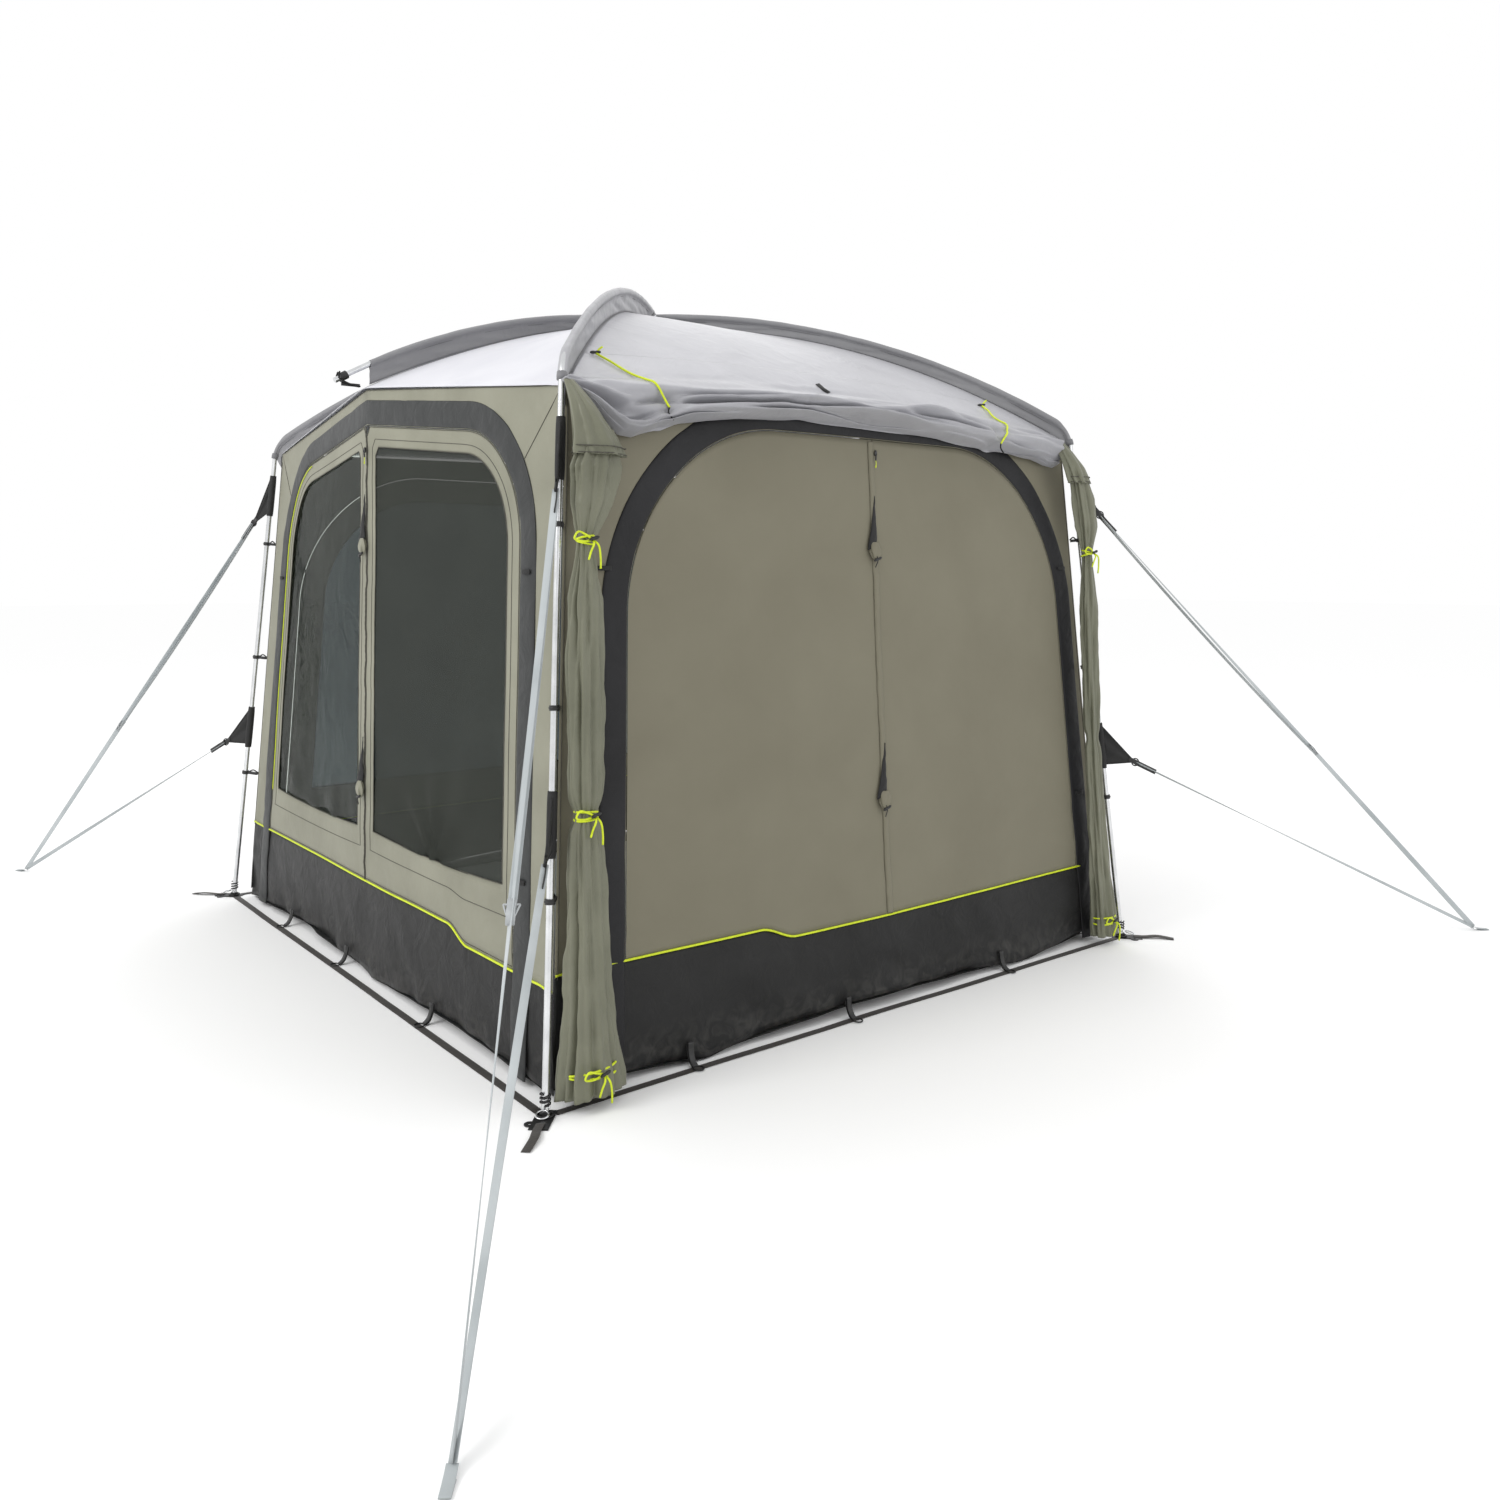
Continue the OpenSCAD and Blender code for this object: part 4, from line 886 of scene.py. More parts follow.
def tunnel_roof_roll():
    """The tunnel's roof cloth: it lies over the roof, hangs over the top of the wall and is tucked
    under, gathered to a point at the near sleeve and tied in two places."""
    n, m = 320, 110
    y = np.linspace(-1.104, 0.992, n)[:, None]
    low = [(-1.104, 1.885), (-1.07, 1.868), (-1.03, 1.825), (-0.97, 1.768), (-0.935, 1.748), (-0.88, 1.752),
           (-0.80, 1.786), (-0.715, 1.806), (-0.53, 1.826), (-0.28, 1.850), (0.09, 1.846), (0.35, 1.838),
           (0.54, 1.820), (0.74, 1.802), (0.86, 1.796), (0.93, 1.778), (0.992, 1.772)]
    bottom = np.interp(y, [q[0] for q in low], [q[1] for q in low])
    near_end, far_end = smooth((y + 1.104) / 0.20), smooth((0.992 - y) / 0.10)
    deep = 0.62 + 0.38 * near_end * (0.6 + 0.4 * far_end)
    wall_x = 1.213 - 0.024 * (y / 1.1) ** 2
    xs = [1.030 + 0 * y, 1.080 + 0 * y, 1.130 + 0 * y, 1.175 + 0 * y]
    lift = (0.0022, 0.0040, 0.0070, 0.0090)
    knots = [(x, tunnel_roof_z(x, y) + a) for x, a in zip(xs, lift)]
    drop = knots[-1][1] - bottom
    for share, out in ((0.26, 0.038), (0.46, 0.056), (0.66, 0.066), (0.84, 0.068),
                       (0.95, 0.058), (1.0, 0.040), (0.96, 0.026), (0.78, 0.018)):
        knots.append((wall_x + out * deep, knots[3][1] - drop * share))
    kx = np.concatenate([k[0] + 0 * y for k in knots], 1)
    kz = np.concatenate([k[1] + 0 * y for k in knots], 1)
    weights = curve_through_weights(len(knots), m)
    x, z = kx @ weights.T, kz @ weights.T
    v = np.linspace(0, 1, m)[None, :]
    ty, tz = y - NEAR_GATHER[0], NEAR_GATHER[1] + 0.01 - z
    away = np.hypot(ty, tz)
    ray = np.arctan2(tz, ty + 0.02)
    tied = sum(np.exp(-np.abs(y - tie[1][0]) / 0.10) for tie in TIES)
    pinch = sum(np.exp(-((y - tie[1][0]) / 0.030) ** 2) for tie in TIES)
    hang = smooth((v - 0.16) / 0.30)
    folds = 0.052 * np.exp(-away / 0.34) * np.minimum(1, away * 9) * noise(ray * 8.0, away * 1.5, seed=72) \
        + 0.032 * noise(y * 1.2 + v * 2.0, v * 11 + 1.4 * y, seed=73) \
        + 0.017 * noise(y * 4 + v * 7, v * 19 - y * 3, seed=74) \
        + 0.014 * tied * noise(y * 4 + 5 * v, v * 15, seed=75) - 0.020 * pinch * smooth((v - 0.3) / 0.3)
    # long overlapping creases: two leave the near tie, one is further along
    for at, start, reach, depth in ((0.44, -0.78, 0.75, 0.030), (0.57, -0.50, 0.90, 0.026),
                                    (0.41, 0.10, 0.60, 0.018)):
        run = smooth((y - start) / 0.12) * (1 - smooth((y - start - reach * 0.5) / (reach * 0.5)))
        middle = at + 0.10 * (y - start) / reach
        folds = folds + depth * run * (np.exp(-((v - middle) / 0.030) ** 2)
                                       - 1.2 * np.exp(-((v - middle - 0.055) / 0.026) ** 2))
    x = x + folds * hang
    z = z + 0.35 * folds * hang
    x = np.maximum(x, wall_x + 0.014 + 0 * v) * (v > 0.36) + x * (v <= 0.36)
    # over the roof the sheet stays between the two diagonal sleeves
    reach = np.minimum(1, (math.tan(CORNER_A) * kx @ weights.T - 0.012) / 1.104)
    yy = y * reach
    z = z + (tunnel_roof_z(np.minimum(x, 1.17), yy) - tunnel_roof_z(np.minimum(x, 1.17), y)) * (1 - hang)
    points = np.stack([x, yy + 0.010 * hang * noise(v * 6, y * 4, seed=76), z], -1)
    cloth("rolled_tunnel_roof", points.reshape(-1, 3), grid_faces(n, m), ROOF_GREY, CLOTH_THICK,
          "tunnel_cloth", stands_for=["tunnel_roll"], held="folded", length=2.1)

    def on_roll(at_y, at_z):
        """The row and column of the cloth's outer face nearest a place along the wall and a height."""
        face = points[:, :int(m * 0.80)]
        miss = np.hypot(face[..., 1] - at_y, face[..., 2] - at_z)
        return np.unravel_index(np.argmin(miss), miss.shape)

    for k, (high, low_end) in enumerate(TIES):
        # taut from end to end: it bridges the hollows between the folds
        route = [lerp(np.array(high), np.array(low_end), t) for t in np.linspace(0, 1, 14)]
        out = np.maximum.accumulate([points[on_roll(*at)][0] for at in route])
        out[1:-1] = np.maximum(out[1:-1], (out[:-2] + out[1:-1] + out[2:]) / 3)
        over = np.array([(a + 0.0050, b, c + 0.0040) for a, (b, c) in zip(out, route)])
        line = curve_through(over, 40)
        tail_end = line[-1] + (0.004, 0.012, -0.035)
        shape = joined([tube_mesh(line, 0.0034, 8),
                        tube_mesh(curve_through([line[0], line[0] + (0.004, 0.010, 0.014),
                                                 line[0] + (0.006, 0.018, 0.020)], 10), 0.0030, 8)])
        piece(f"roll_tie_{k + 1}", shape, LIME)
        toggle_at(line[0] + (0, -0.002, 0.003), (0.3, 1, 0.1), f"roll_toggle_{k + 1}", 0.032)
        tail = curve_through([line[-1], line[-1] + (0.004, -0.006, -0.014), tail_end], 16)
        shape = tube_mesh(tail, 0.0026, 6)
        piece(f"roll_tie_tail_{k + 1}", shape, BLACK_CLOTH)
    # the small tab on the tunnel's roof
    at = np.array([1.150, -0.105, float(tunnel_roof_z(1.150, -0.105)) + 0.011])
    shape = strap_mesh([at + (-0.020, -0.006, 0.018), at, at + (0.020, 0.008, -0.014)], [(0.2, 1, 0)] * 3,
                       0.018, 0.0024)
    piece("tunnel_roof_tab", shape, BLACK_CLOTH)


def toggle_at(point, along, name, length, body="root"):
    """A small barrel toggle with a waist."""
    a = unit(np.array(along, float))
    share = np.linspace(-0.5, 0.5, 9)
    radii = [0.0022, 0.0042, 0.0050, 0.0046, 0.0036, 0.0046, 0.0050, 0.0042, 0.0022]
    piece(name, tube_mesh([np.array(point, float) + a * s * length for s in share], radii, 14),
          BLACK_PLASTIC, body)


def gathered(name, spine, radii, ties, pleats, seed, squash, stands_for=()):
    """Cloth gathered round a spine in lengthwise pleats, pinched where it is tied."""
    n, m = 190, 120
    line = curve_through(spine, n)
    r = np.interp(np.linspace(0, 1, n), np.linspace(0, 1, len(radii)), radii)[:, None]
    z = line[:, 2][:, None]
    for tie_z, amount in ties:
        r = r * (1 - amount * np.exp(-((z - tie_z) / 0.032) ** 2))
    a = (2 * math.pi * np.arange(m) / m)[None, :]
    drift = 0.8 * noise(z * 1.3, 0.3, seed=seed + 3) + 0.25 * np.sin(z * 3 + seed)
    lobes = 0.15 * np.sin(pleats * (a + drift)) + 0.09 * np.sin((2 * pleats + 1) * (a - 0.6 * drift))
    soft = 0.12 * noise(np.cos(a) * 1.7 + 3, np.sin(a) * 1.7, z * 5, seed=seed) \
        + 0.09 * noise(np.cos(a) * 4 + z * 7, np.sin(a) * 4 - z * 5, z * 11, seed=seed + 1) \
        + 0.05 * noise(np.cos(a) * 8 - z * 16, np.sin(a) * 8, z * 26, seed=seed + 2)
    rr = r * (1 + lobes + soft)
    p = line[:, None, :] + np.stack([rr * np.cos(a) * squash, rr * np.sin(a), 0 * rr], -1)
    return cloth(name, p.reshape(-1, 3), grid_faces(n, m, wrap_columns=True), BUNDLE_OLIVE, 0.0014,
                 "dark_olive_cloth", stands_for=stands_for, held="gathered",
                 length=float(abs(line[0][2] - line[-1][2])))


def tie_round(name, centre, radius, squash, seed):
    """A lime cord wound round a bundle, with its two ends hanging and a toggle."""
    c = np.array(centre, float)
    turns = [c + (radius * squash * math.cos(a), radius * math.sin(a), 0.012 * math.sin(a * 0.5 + seed))
             for a in np.linspace(0, 4 * math.pi, 72)]
    parts = [tube_mesh(turns, 0.0030, 8)]
    front = c + (radius * squash + 0.004, 0.010, 0)
    for dy, dz in ((0.020, -0.075), (-0.016, -0.052)):
        hang = curve_through([front, front + (0.016, dy * 0.3, -0.010), front + (0.014, dy * 0.8, dz * 0.6),
                              front + (0.008, dy, dz)], 16)
        parts.append(tube_mesh(hang, 0.0028, 8))
    loop = curve_through([front, front + (0.014, -0.030, 0.014), front + (0.014, -0.052, 0.020),
                          front + (0.010, -0.060, 0.004), front + (0.008, -0.034, -0.004), front], 30)
    parts.append(tube_mesh(loop, 0.0028, 8))
    piece(name, joined(parts), LIME)
    toggle_at(front + (0.010, 0, 0.004), (0, 1, 0.3), name + "_toggle", 0.030)


def flap_hem(name, c, radius, squash):
    """The stitched hem round the open end of a flap whose middle is c."""
    rings = []
    for dz, grow in ((0.004, 1.03), (0.022, 1.0)):
        a = np.linspace(0, 2 * math.pi, 64)
        wave = 1 + 0.10 * np.sin(4 * a + 1.0) + 0.05 * np.sin(9 * a)
        ring = np.stack([c[0] + radius * squash * grow * wave * np.cos(a),
                         c[1] + radius * grow * wave * np.sin(a), c[2] + dz + 0 * a], -1)
        rings.append(tube_mesh(ring, 0.0016, 6))
    piece(name, joined(rings), SEAM_DARK)


def bundles():
    """The tunnel's side cloths, gathered down both corners of the right wall."""
    side = ["tunnel_sides"]
    gathered("near_side_flap", [(1.235, -1.090, 1.884), (1.268, -1.072, 1.825), (1.290, -1.050, 1.750),
                                (1.300, -1.036, 1.680)],
             [0.014, 0.034, 0.056, 0.074], (), 4, 87, 0.56, side)
    gathered("near_side_bag", [(1.296, -1.036, 1.750), (1.300, -1.048, 1.640), (1.300, -1.062, 1.540),
                               (1.300, -1.078, 1.450)], [0.036, 0.062, 0.050, 0.019], (), 6, 85, 0.60)
    gathered("near_side_cloth", [(1.300, -1.078, 1.462), (1.304, -1.080, 1.350), (1.314, -1.084, 1.040),
                                 (1.330, -1.093, 0.740), (1.346, -1.098, 0.400), (1.362, -1.100, 0.035)],
             [0.018, 0.044, 0.046, 0.044, 0.046, 0.043, 0.048, 0.056, 0.070, 0.086],
             ((0.740, 0.36),), 7, 83, 0.60)
    gathered("far_side_flap", [(1.236, 0.994, 1.868), (1.268, 1.008, 1.810), (1.288, 1.024, 1.760),
                               (1.297, 1.042, 1.705)], [0.016, 0.034, 0.046, 0.050], (), 4, 95, 0.62, side)
    gathered("far_side_bag", [(1.292, 1.036, 1.750), (1.300, 1.060, 1.640), (1.304, 1.074, 1.550),
                              (1.304, 1.078, 1.440)], [0.032, 0.046, 0.046, 0.019], (), 6, 97, 0.66)
    gathered("far_side_cloth", [(1.304, 1.080, 1.452), (1.306, 1.082, 1.350), (1.320, 1.082, 0.900),
                                (1.340, 1.090, 0.450), (1.360, 1.104, 0.035)],
             [0.018, 0.037, 0.037, 0.035, 0.035, 0.037, 0.044, 0.056], ((0.760, 0.30),), 6, 91, 0.62)
    flap_hem("near_side_flap_hem", (1.300, -1.036, 1.680), 0.075, 0.56)
    flap_hem("far_side_flap_hem", (1.297, 1.042, 1.705), 0.051, 0.62)
    tie_round("near_upper_tie", (1.300, -1.078, 1.455), 0.024, 0.72, 1)
    tie_round("near_lower_tie", (1.330, -1.093, 0.740), 0.032, 0.72, 2)
    tie_round("far_upper_tie", (1.304, 1.076, 1.446), 0.023, 0.72, 3)
    tie_round("near_foot_tie", (1.362, -1.100, 0.094), 0.074, 0.64, 4)
    tie_round("far_foot_tie", (1.358, 1.102, 0.092), 0.054, 0.64, 5)


# ---- guy lines ----
def twisting_sides(line, start, turn):
    """The width's direction along a strap that turns a little between its ends, in degrees."""
    d = unit(line[-1] - line[0])
    x = unit(np.cross(d, (0, 0, 1)))
    y = np.cross(d, x)
    angles = [math.radians(start + turn * smooth(k / (len(line) - 1))) for k in range(len(line))]
    return [x * math.cos(a) + y * math.sin(a) for a in angles]


def guy_lines():
    for corner, (upper, lower, peg) in GUY_ROUTES.items():
        for which, start in (("upper", upper), ("lower", lower)):
            a, b = np.array(start), np.array(peg)
            line = np.array([lerp(a, b, k / 60) for k in range(61)])
            high = which == "upper"
            sides = twisting_sides(line, 18 if high else -14, 70 if high else 52)
            p, f = strap_mesh(line, sides, GUY_W * 0.96, 0.0020)
            name = f"guy_{corner}_{which}"
            strap = place(mesh_object(name + "_webbing", p, f, GUY_WEB), stands_for=[name])
            extras = upper_guy_parts(corner, a, b) if high else []


def upper_guy_parts(corner, start, peg):
    """The strap that comes back from the buckle to the slider, and the slider's clip."""
    d = unit(peg - start)
    side = unit(np.cross(d, (0, 0, 1)))
    up = np.cross(side, d)
    slide = start + (peg - start) * SLIDER_AT
    t = np.linspace(0, 1, 40)[:, None]
    line = start + (slide - start) * t - up * (0.0035 + 0.011 * np.sin(math.pi * t) ** 0.8)
    shape = strap_mesh(line, [side + 0.25 * up] * len(line), GUY_W * 0.94, 0.0018)
    back = piece(f"guy_{corner}_return_strap", shape, GUY_WEB)
    c = slide + d * 0.016
    tips = [c - d * 0.020 - side * 0.017, c - d * 0.020 + side * 0.017, c + d * 0.024]
    parts = [tube_mesh([tips[i], lerp(tips[i], tips[j], 0.5), tips[j]], 0.0021, 8)
             for i, j in ((0, 1), (1, 2), (2, 0))]
    parts.append(tube_mesh([lerp(tips[0], tips[2], 0.45), c, lerp(tips[1], tips[2], 0.45)], 0.0018, 8))
    for sign in (-1, 1):
        wrap = np.array([c - d * 0.030 + up * 0.0045 * sign, c - d * 0.006 + up * 0.006 * sign,
                         c + d * 0.022 + up * 0.0025 * sign])
        parts.append(strap_mesh(wrap, [side] * 3, GUY_W * 0.9, 0.0016))
    clip = piece(f"guy_{corner}_slider_clip", joined(parts),
                 GREY_PLASTIC, f"guy_slider_{corner}", [f"slider_{corner}"])
    return [back, clip]


def leg_point(corner, z):
    """A point on a leg's centre line."""
    s, a = DIAGONAL - z * math.tan(LEAN), CORNERS[corner]
    return np.array([s * math.cos(a), s * math.sin(a), z])


def corner_directions(corner):
    """Level directions at a corner: outwards, and across that."""
    a = CORNERS[corner]
    return np.array([math.cos(a), math.sin(a), 0]), np.array([-math.sin(a), math.cos(a), 0])


def guy_patches():
    """The black triangle of doubled cloth at each pole, its edge tape, hook strap and end ring."""
    for corner, (upper, lower, peg) in GUY_ROUTES.items():
        for which, start, z in (("upper", upper, 1.700), ("lower", lower, 0.720)):
            start, end = np.array(start), np.array(peg)
            d = unit(end - start)
            tip = start - d * 0.020
            a, b = leg_point(corner, z + 0.070), leg_point(corner, z - 0.070)
            out = unit((tip - (a + b) / 2) * (1, 1, 0))
            a, b = a + out * 0.012, b + out * 0.012
            across = unit(np.cross(tip - a, b - a))
            n = 24
            rows = []
            for i in range(n):
                t = i / (n - 1)
                lo, hi = lerp(b, tip, t), lerp(a, tip, t)
                half = 0.007 * t
                lo, hi = lo - (0, 0, half), hi + (0, 0, half)
                for j in range(n):
                    v = j / (n - 1)
                    pinch = math.sin(math.pi * v) * math.sin(math.pi * t) * 0.016
                    p = lerp(lo, hi, v) \
                        + across * 0.006 * math.sin(v * 9 + t * 2) * (1 - t) * math.sin(math.pi * v)
                    rows.append(p + (tip - p) * pinch)
            grid = np.array(rows).reshape(n, n, 3)
            name = f"{corner}_{which}_guy_patch"
            cloth(name, rows, grid_faces(n, n), BLACK_CLOTH, 0.0022, "patch_cloth", length=0.16,
                  stands_for=["guy_patches"])
            tapes = [strap_mesh(grid[:, k], [across] * n, 0.006, 0.004) for k in (0, n - 1)]
            grip = [leg_point(corner, z + h) for h in np.linspace(-0.085, 0.085, 9)]
            q, g = tube_mesh(grip, [0.0125, 0.0135] + [0.0138] * 5 + [0.0135, 0.0125], 20)
            piece(name + "_sleeve", joined(tapes + [(q, g)]), BLACK_CLOTH)
            parts = [strap_mesh([tip - d * 0.012 + across * k, tip + d * 0.010 + across * k,
                                 start + d * 0.010 + across * k], [np.cross(across, d)] * 3, 0.018, 0.0022)
                     for k in (-0.0024, 0.0024)]
            parts.append(ring_mesh(start - d * 0.004, across, 0.0135, 0.0024))
            parts.append(strap_mesh([start + across * 0.004, start + d * 0.045 + across * 0.0045,
                                     start + d * 0.085 + across * 0.003], [np.cross(across, d)] * 3,
                                    0.019, 0.0028))
            piece(name + "_buckle", joined(parts),
                  BLACK_PLASTIC, stands_for=["guy_buckles"])


def end_loops():
    """The stitched loop at each pair of guys, pegged on the ground."""
    for corner, (upper, _, peg) in GUY_ROUTES.items():
        d = unit((np.array(peg) - np.array(upper)) * (1, 1, 0))
        side = np.array([-d[1], d[0], 0])
        start = np.array([peg[0], peg[1], 0.0])
        loop = [start + d * s + (0, 0, h) for s, h in
                ((0.0, 0.013), (0.016, 0.008), (0.030, 0.0055), (0.046, 0.0042), (0.055, 0.0034),
                 (0.058, 0.0028), (0.055, 0.0020), (0.046, 0.0018), (0.030, 0.0018), (0.018, 0.0020))]
        piece(f"{corner}_peg_loop", strap_mesh(curve_through(loop, 40), [side] * 40, GUY_W * 0.98, 0.0016),
              GUY_WEB, stands_for=["guy_end_loops"])


# ---- ground straps and feet ----
def ground_strapping():
    """Webbing between the feet, lying in a slightly wavering line, and the loose tails."""
    order = list(CORNERS)
    for k, corner in enumerate(order):
        a, b = leg_point(corner, 0.0), leg_point(order[(k + 1) % 4], 0.0)
        d = unit(b - a)
        side = np.array([-d[1], d[0], 0])
        line = []
        for t in np.linspace(0, 1, 80):
            wander = 0.006 * math.sin(math.pi * t) * float(noise(t * 6, 0.5, seed=k + 5))
            lift = 0.0014 + 0.0030 * abs(float(noise(t * 9, 2.5, seed=k))) * math.sin(math.pi * t)
            line.append(lerp(a + d * 0.030, b - d * 0.030, t) + side * wander + (0, 0, lift))
        piece(f"ground_strap_{corner}", strap_mesh(line, [side] * 80, 0.025, 0.0018),
              GROUND_WEB, stands_for=["ground_straps"])
        out, across = corner_directions(corner)
        foot = leg_point(corner, 0.0)
        tail = curve_through([foot + out * 0.045 + (0, 0, 0.0045), foot + out * 0.085 + (0, 0, 0.0050),
                              foot + out * 0.130 + across * 0.004 + (0, 0, 0.0080),
                              foot + out * 0.190 - across * 0.002 + (0, 0, 0.0016)], 40)
        piece(f"ground_strap_tail_{corner}", strap_mesh(tail, [across + (0, 0, 0.10)] * 40, 0.024, 0.0018),
              GROUND_WEB)


def foot_details():
    """The steel ring, pin and lashing at each foot."""
    for corner in CORNERS:
        foot, (out, across) = leg_point(corner, 0.0), corner_directions(corner)
        parts = [ring_mesh(foot + out * 0.030 + (0, 0, 0.019), (out * 0.25 + (0, 0, 1)), 0.016, 0.0022),
                 tube_mesh([foot + across * k + (0, 0, 0.024) for k in (-0.014, 0.014)], 0.002, 8)]
        piece(f"foot_ring_{corner}", joined(parts), STEEL)
        lash = [foot + (0, 0, 0.030) - out * 0.002 + out * 0.0128 * math.cos(t)
                + across * 0.0128 * math.sin(t) + (0, 0, 0.0016 * t)
                for t in np.linspace(0, 6 * math.pi, 90)]
        piece(f"foot_lashing_{corner}", tube_mesh(lash, 0.0022, 8), BLACK_CLOTH)


# ---- small parts on the walls ----
def zip_chain(wall, side, body):
    """One half of a door zip, up the leaf's edge from the mud wall to the arch."""
    width = 0.0026
    _, top = wall.arch(-LEAF_GAP, 0.4, 1.0)
    u = wall.shift + side * (ZIP_U + width / 2 + 0.0003)
    z = np.linspace(float(wall.mud_top(u)) + 0.006, float(top) - 0.004, 160)
    teeth = 0.0004 * np.cos(np.arange(160) * math.pi)
    line = wall.point(np.full(160, u), z, 0.0042 + teeth)
    across = wall.place(1.0, 0.0, 0.0)
    q, g = strap_mesh(line, [across] * 160, width, 0.0016)
    which = "a" if side < 0 else "b"
    place(mesh_object(f"{wall.name}_zip_{which}", q, g, SEAM_DARK), body)


def zip_flap(wall, side, body, material, slot):
    """The narrow cloth flap sewn over a zip, puckered along its stitching."""
    _, top = wall.arch(-LEAF_GAP, 0.4, 1.0)
    v = np.linspace(0, 1, 8)[None, :]
    z = np.linspace(float(wall.mud_top(wall.shift)) + 0.008, float(top) - 0.006, 240)[:, None]
    u = wall.shift + side * lerp(-0.0045, 0.018, v) + 0.0006 * noise(z * 30, v * 2, seed=wall.seed)
    out = 0.0066 + 0.0022 * np.sin(math.pi * v) + 0.0011 * noise(z * 42, v * 1.5, seed=wall.seed + 1) \
        - 0.0030 * smooth((v - 0.75) / 0.25)
    grid_cloth(wall.name + "_zip_flap", wall, u + 0 * z, z + 0 * v, out, material, FLAP_THICK, slot,
               body=body, length=1.5)


def zip_pull(wall, z):
    """A zip slider with its hinged pull and cord."""
    u = wall.shift + ZIP_U + 0.009
    base = wall.point(u, z, 0.0098, relief=0.0)
    right, out = unit(wall.place(1.0, 0.0, 0.0)), unit(wall.place(0.0, -1.0, 0.0))
    up = np.array([0, 0, 1.0])
    body = "zip_slider_" + wall.name
    parts = [tube_mesh([base + up * 0.009 + out * 0.001, base + up * 0.003 + out * 0.0025,
                        base - up * 0.004 + out * 0.0025, base - up * 0.009 + out * 0.001],
                       [0.0034, 0.0052, 0.0048, 0.0036], 12),
             ring_mesh(base - up * 0.004 + out * 0.005, right, 0.0032, 0.0010),
             tube_mesh([base - up * 0.007 + out * 0.0052, base - up * 0.016 + out * 0.0040,
                        base - up * 0.024 + out * 0.0034], [0.0022, 0.0030, 0.0024], 10)]
    piece(body + "_metal", joined(parts), ZIP_METAL, body, ["zip_pull_" + wall.name])
    cord = curve_through([base - up * 0.024 + out * 0.0034,
                          base - up * 0.034 + out * 0.0042 + right * 0.001,
                          base - up * 0.048 + out * 0.0036 - right * 0.001], 14)
    piece(body + "_cord", tube_mesh(cord, [0.0011] * 9 + [0.0018, 0.0022, 0.0022, 0.0020, 0.0014], 8),
          LIME, body)


def door_gusset(wall, z_top, side, body, material, number, width=0.042):
    """A black tapered tie patch beside the zip, with folded cloth and a toggle under it."""
    n, m = 28, 10
    t, v = np.linspace(0, 1, n)[:, None], np.linspace(-1, 1, m)[None, :]
    u0 = wall.shift + side * 0.018
    u = wall.shift + side * (0.0005 + (0.002 + width * t ** 1.2) * (v + 1) / 2)
    z = z_top - 0.165 * t + 0.012 * t * v * side
    out = 0.0098 + 0.008 * t * (1 - v * v) + 0.0016 * noise(v * 3, t * 9, seed=number)
    name = f"{wall.name}_tie_{number}"
    grid_cloth(name + "_patch", wall, u, z, out, BLACK_CLOTH, 0.0014, "band_cloth", body=body, length=0.175)
    a = np.linspace(0, 2 * math.pi, 40, endpoint=False)[None, :]
    s = np.linspace(0, 1, 26)[:, None]
    girth = np.sin(math.pi * (0.10 + 0.86 * s)) ** 0.7
    fu = u0 - side * 0.004 + girth * 0.022 * np.cos(a) * (1 + 0.18 * np.sin(5 * a + s * 3))
    fz = z_top - 0.150 - 0.060 * s
    fo = 0.015 + girth * 0.011 * np.sin(a) * (1 + 0.2 * np.sin(4 * a - s * 4))
    p = wall.point(fu, fz + 0 * a, fo)
    p, faces = p.reshape(-1, 3), grid_faces(26, 40, wrap_columns=True)
    folded = thicken(mesh_object(name + "_folded_cloth", p, faces, material), 0.0010)
    place(folded, body)
    end = wall.point(u0 - side * 0.006, z_top - 0.205, 0.022)
    toggle_at(end, wall.place(1.0, 0.0, 0.0) + (0, 0, 0.35), name + "_toggle", 0.034, body=body)
    hang = wall.point(np.array([0.0, 0.004, -0.002]) + u0,
                      z_top - np.array([0.190, 0.205, 0.232]), np.array([0.020, 0.024, 0.019]))
    piece(name + "_elastic", tube_mesh(curve_through(hang, 14), 0.0016, 8), BLACK_CLOTH, body)


def tab(wall, u, z, name):
    """A short black hook tab sewn across a band."""
    length, height = 0.044, 0.013
    us = np.linspace(u - length / 2, u + length / 2, 10)
    out = 0.0105 + 0.004 * np.sin(np.linspace(0, math.pi, 10))
    piece(name, strap_mesh(wall.point(us, np.full(10, z), out), [(0, 0, 1)] * 10, height, 0.0022),
          BLACK_CLOTH)


def hem_loop(wall, u, name):
    """A black webbing loop at the hem, with its ring on the ground."""
    # each point: (out of the wall, height)
    pts = [(0.030, 0.002), (0.018, 0.010), (0.008, 0.030), (0.004, 0.046), (0.006, 0.062), (0.010, 0.064),
           (0.012, 0.046), (0.015, 0.030), (0.024, 0.014), (0.034, 0.006)]
    line = [wall.point(u, z, out) for out, z in pts]
    along = wall.place(1.0, 0.0, 0.0)
    q, g = strap_mesh(curve_through(line, 30), [along] * 30, 0.018, 0.0016)
    r = ring_mesh(wall.point(u, 0.0045, 0.048), (0.05, 0.02, 1), 0.015, 0.0022)
    piece(name, joined([(q, g), r]), BLACK_PLASTIC)


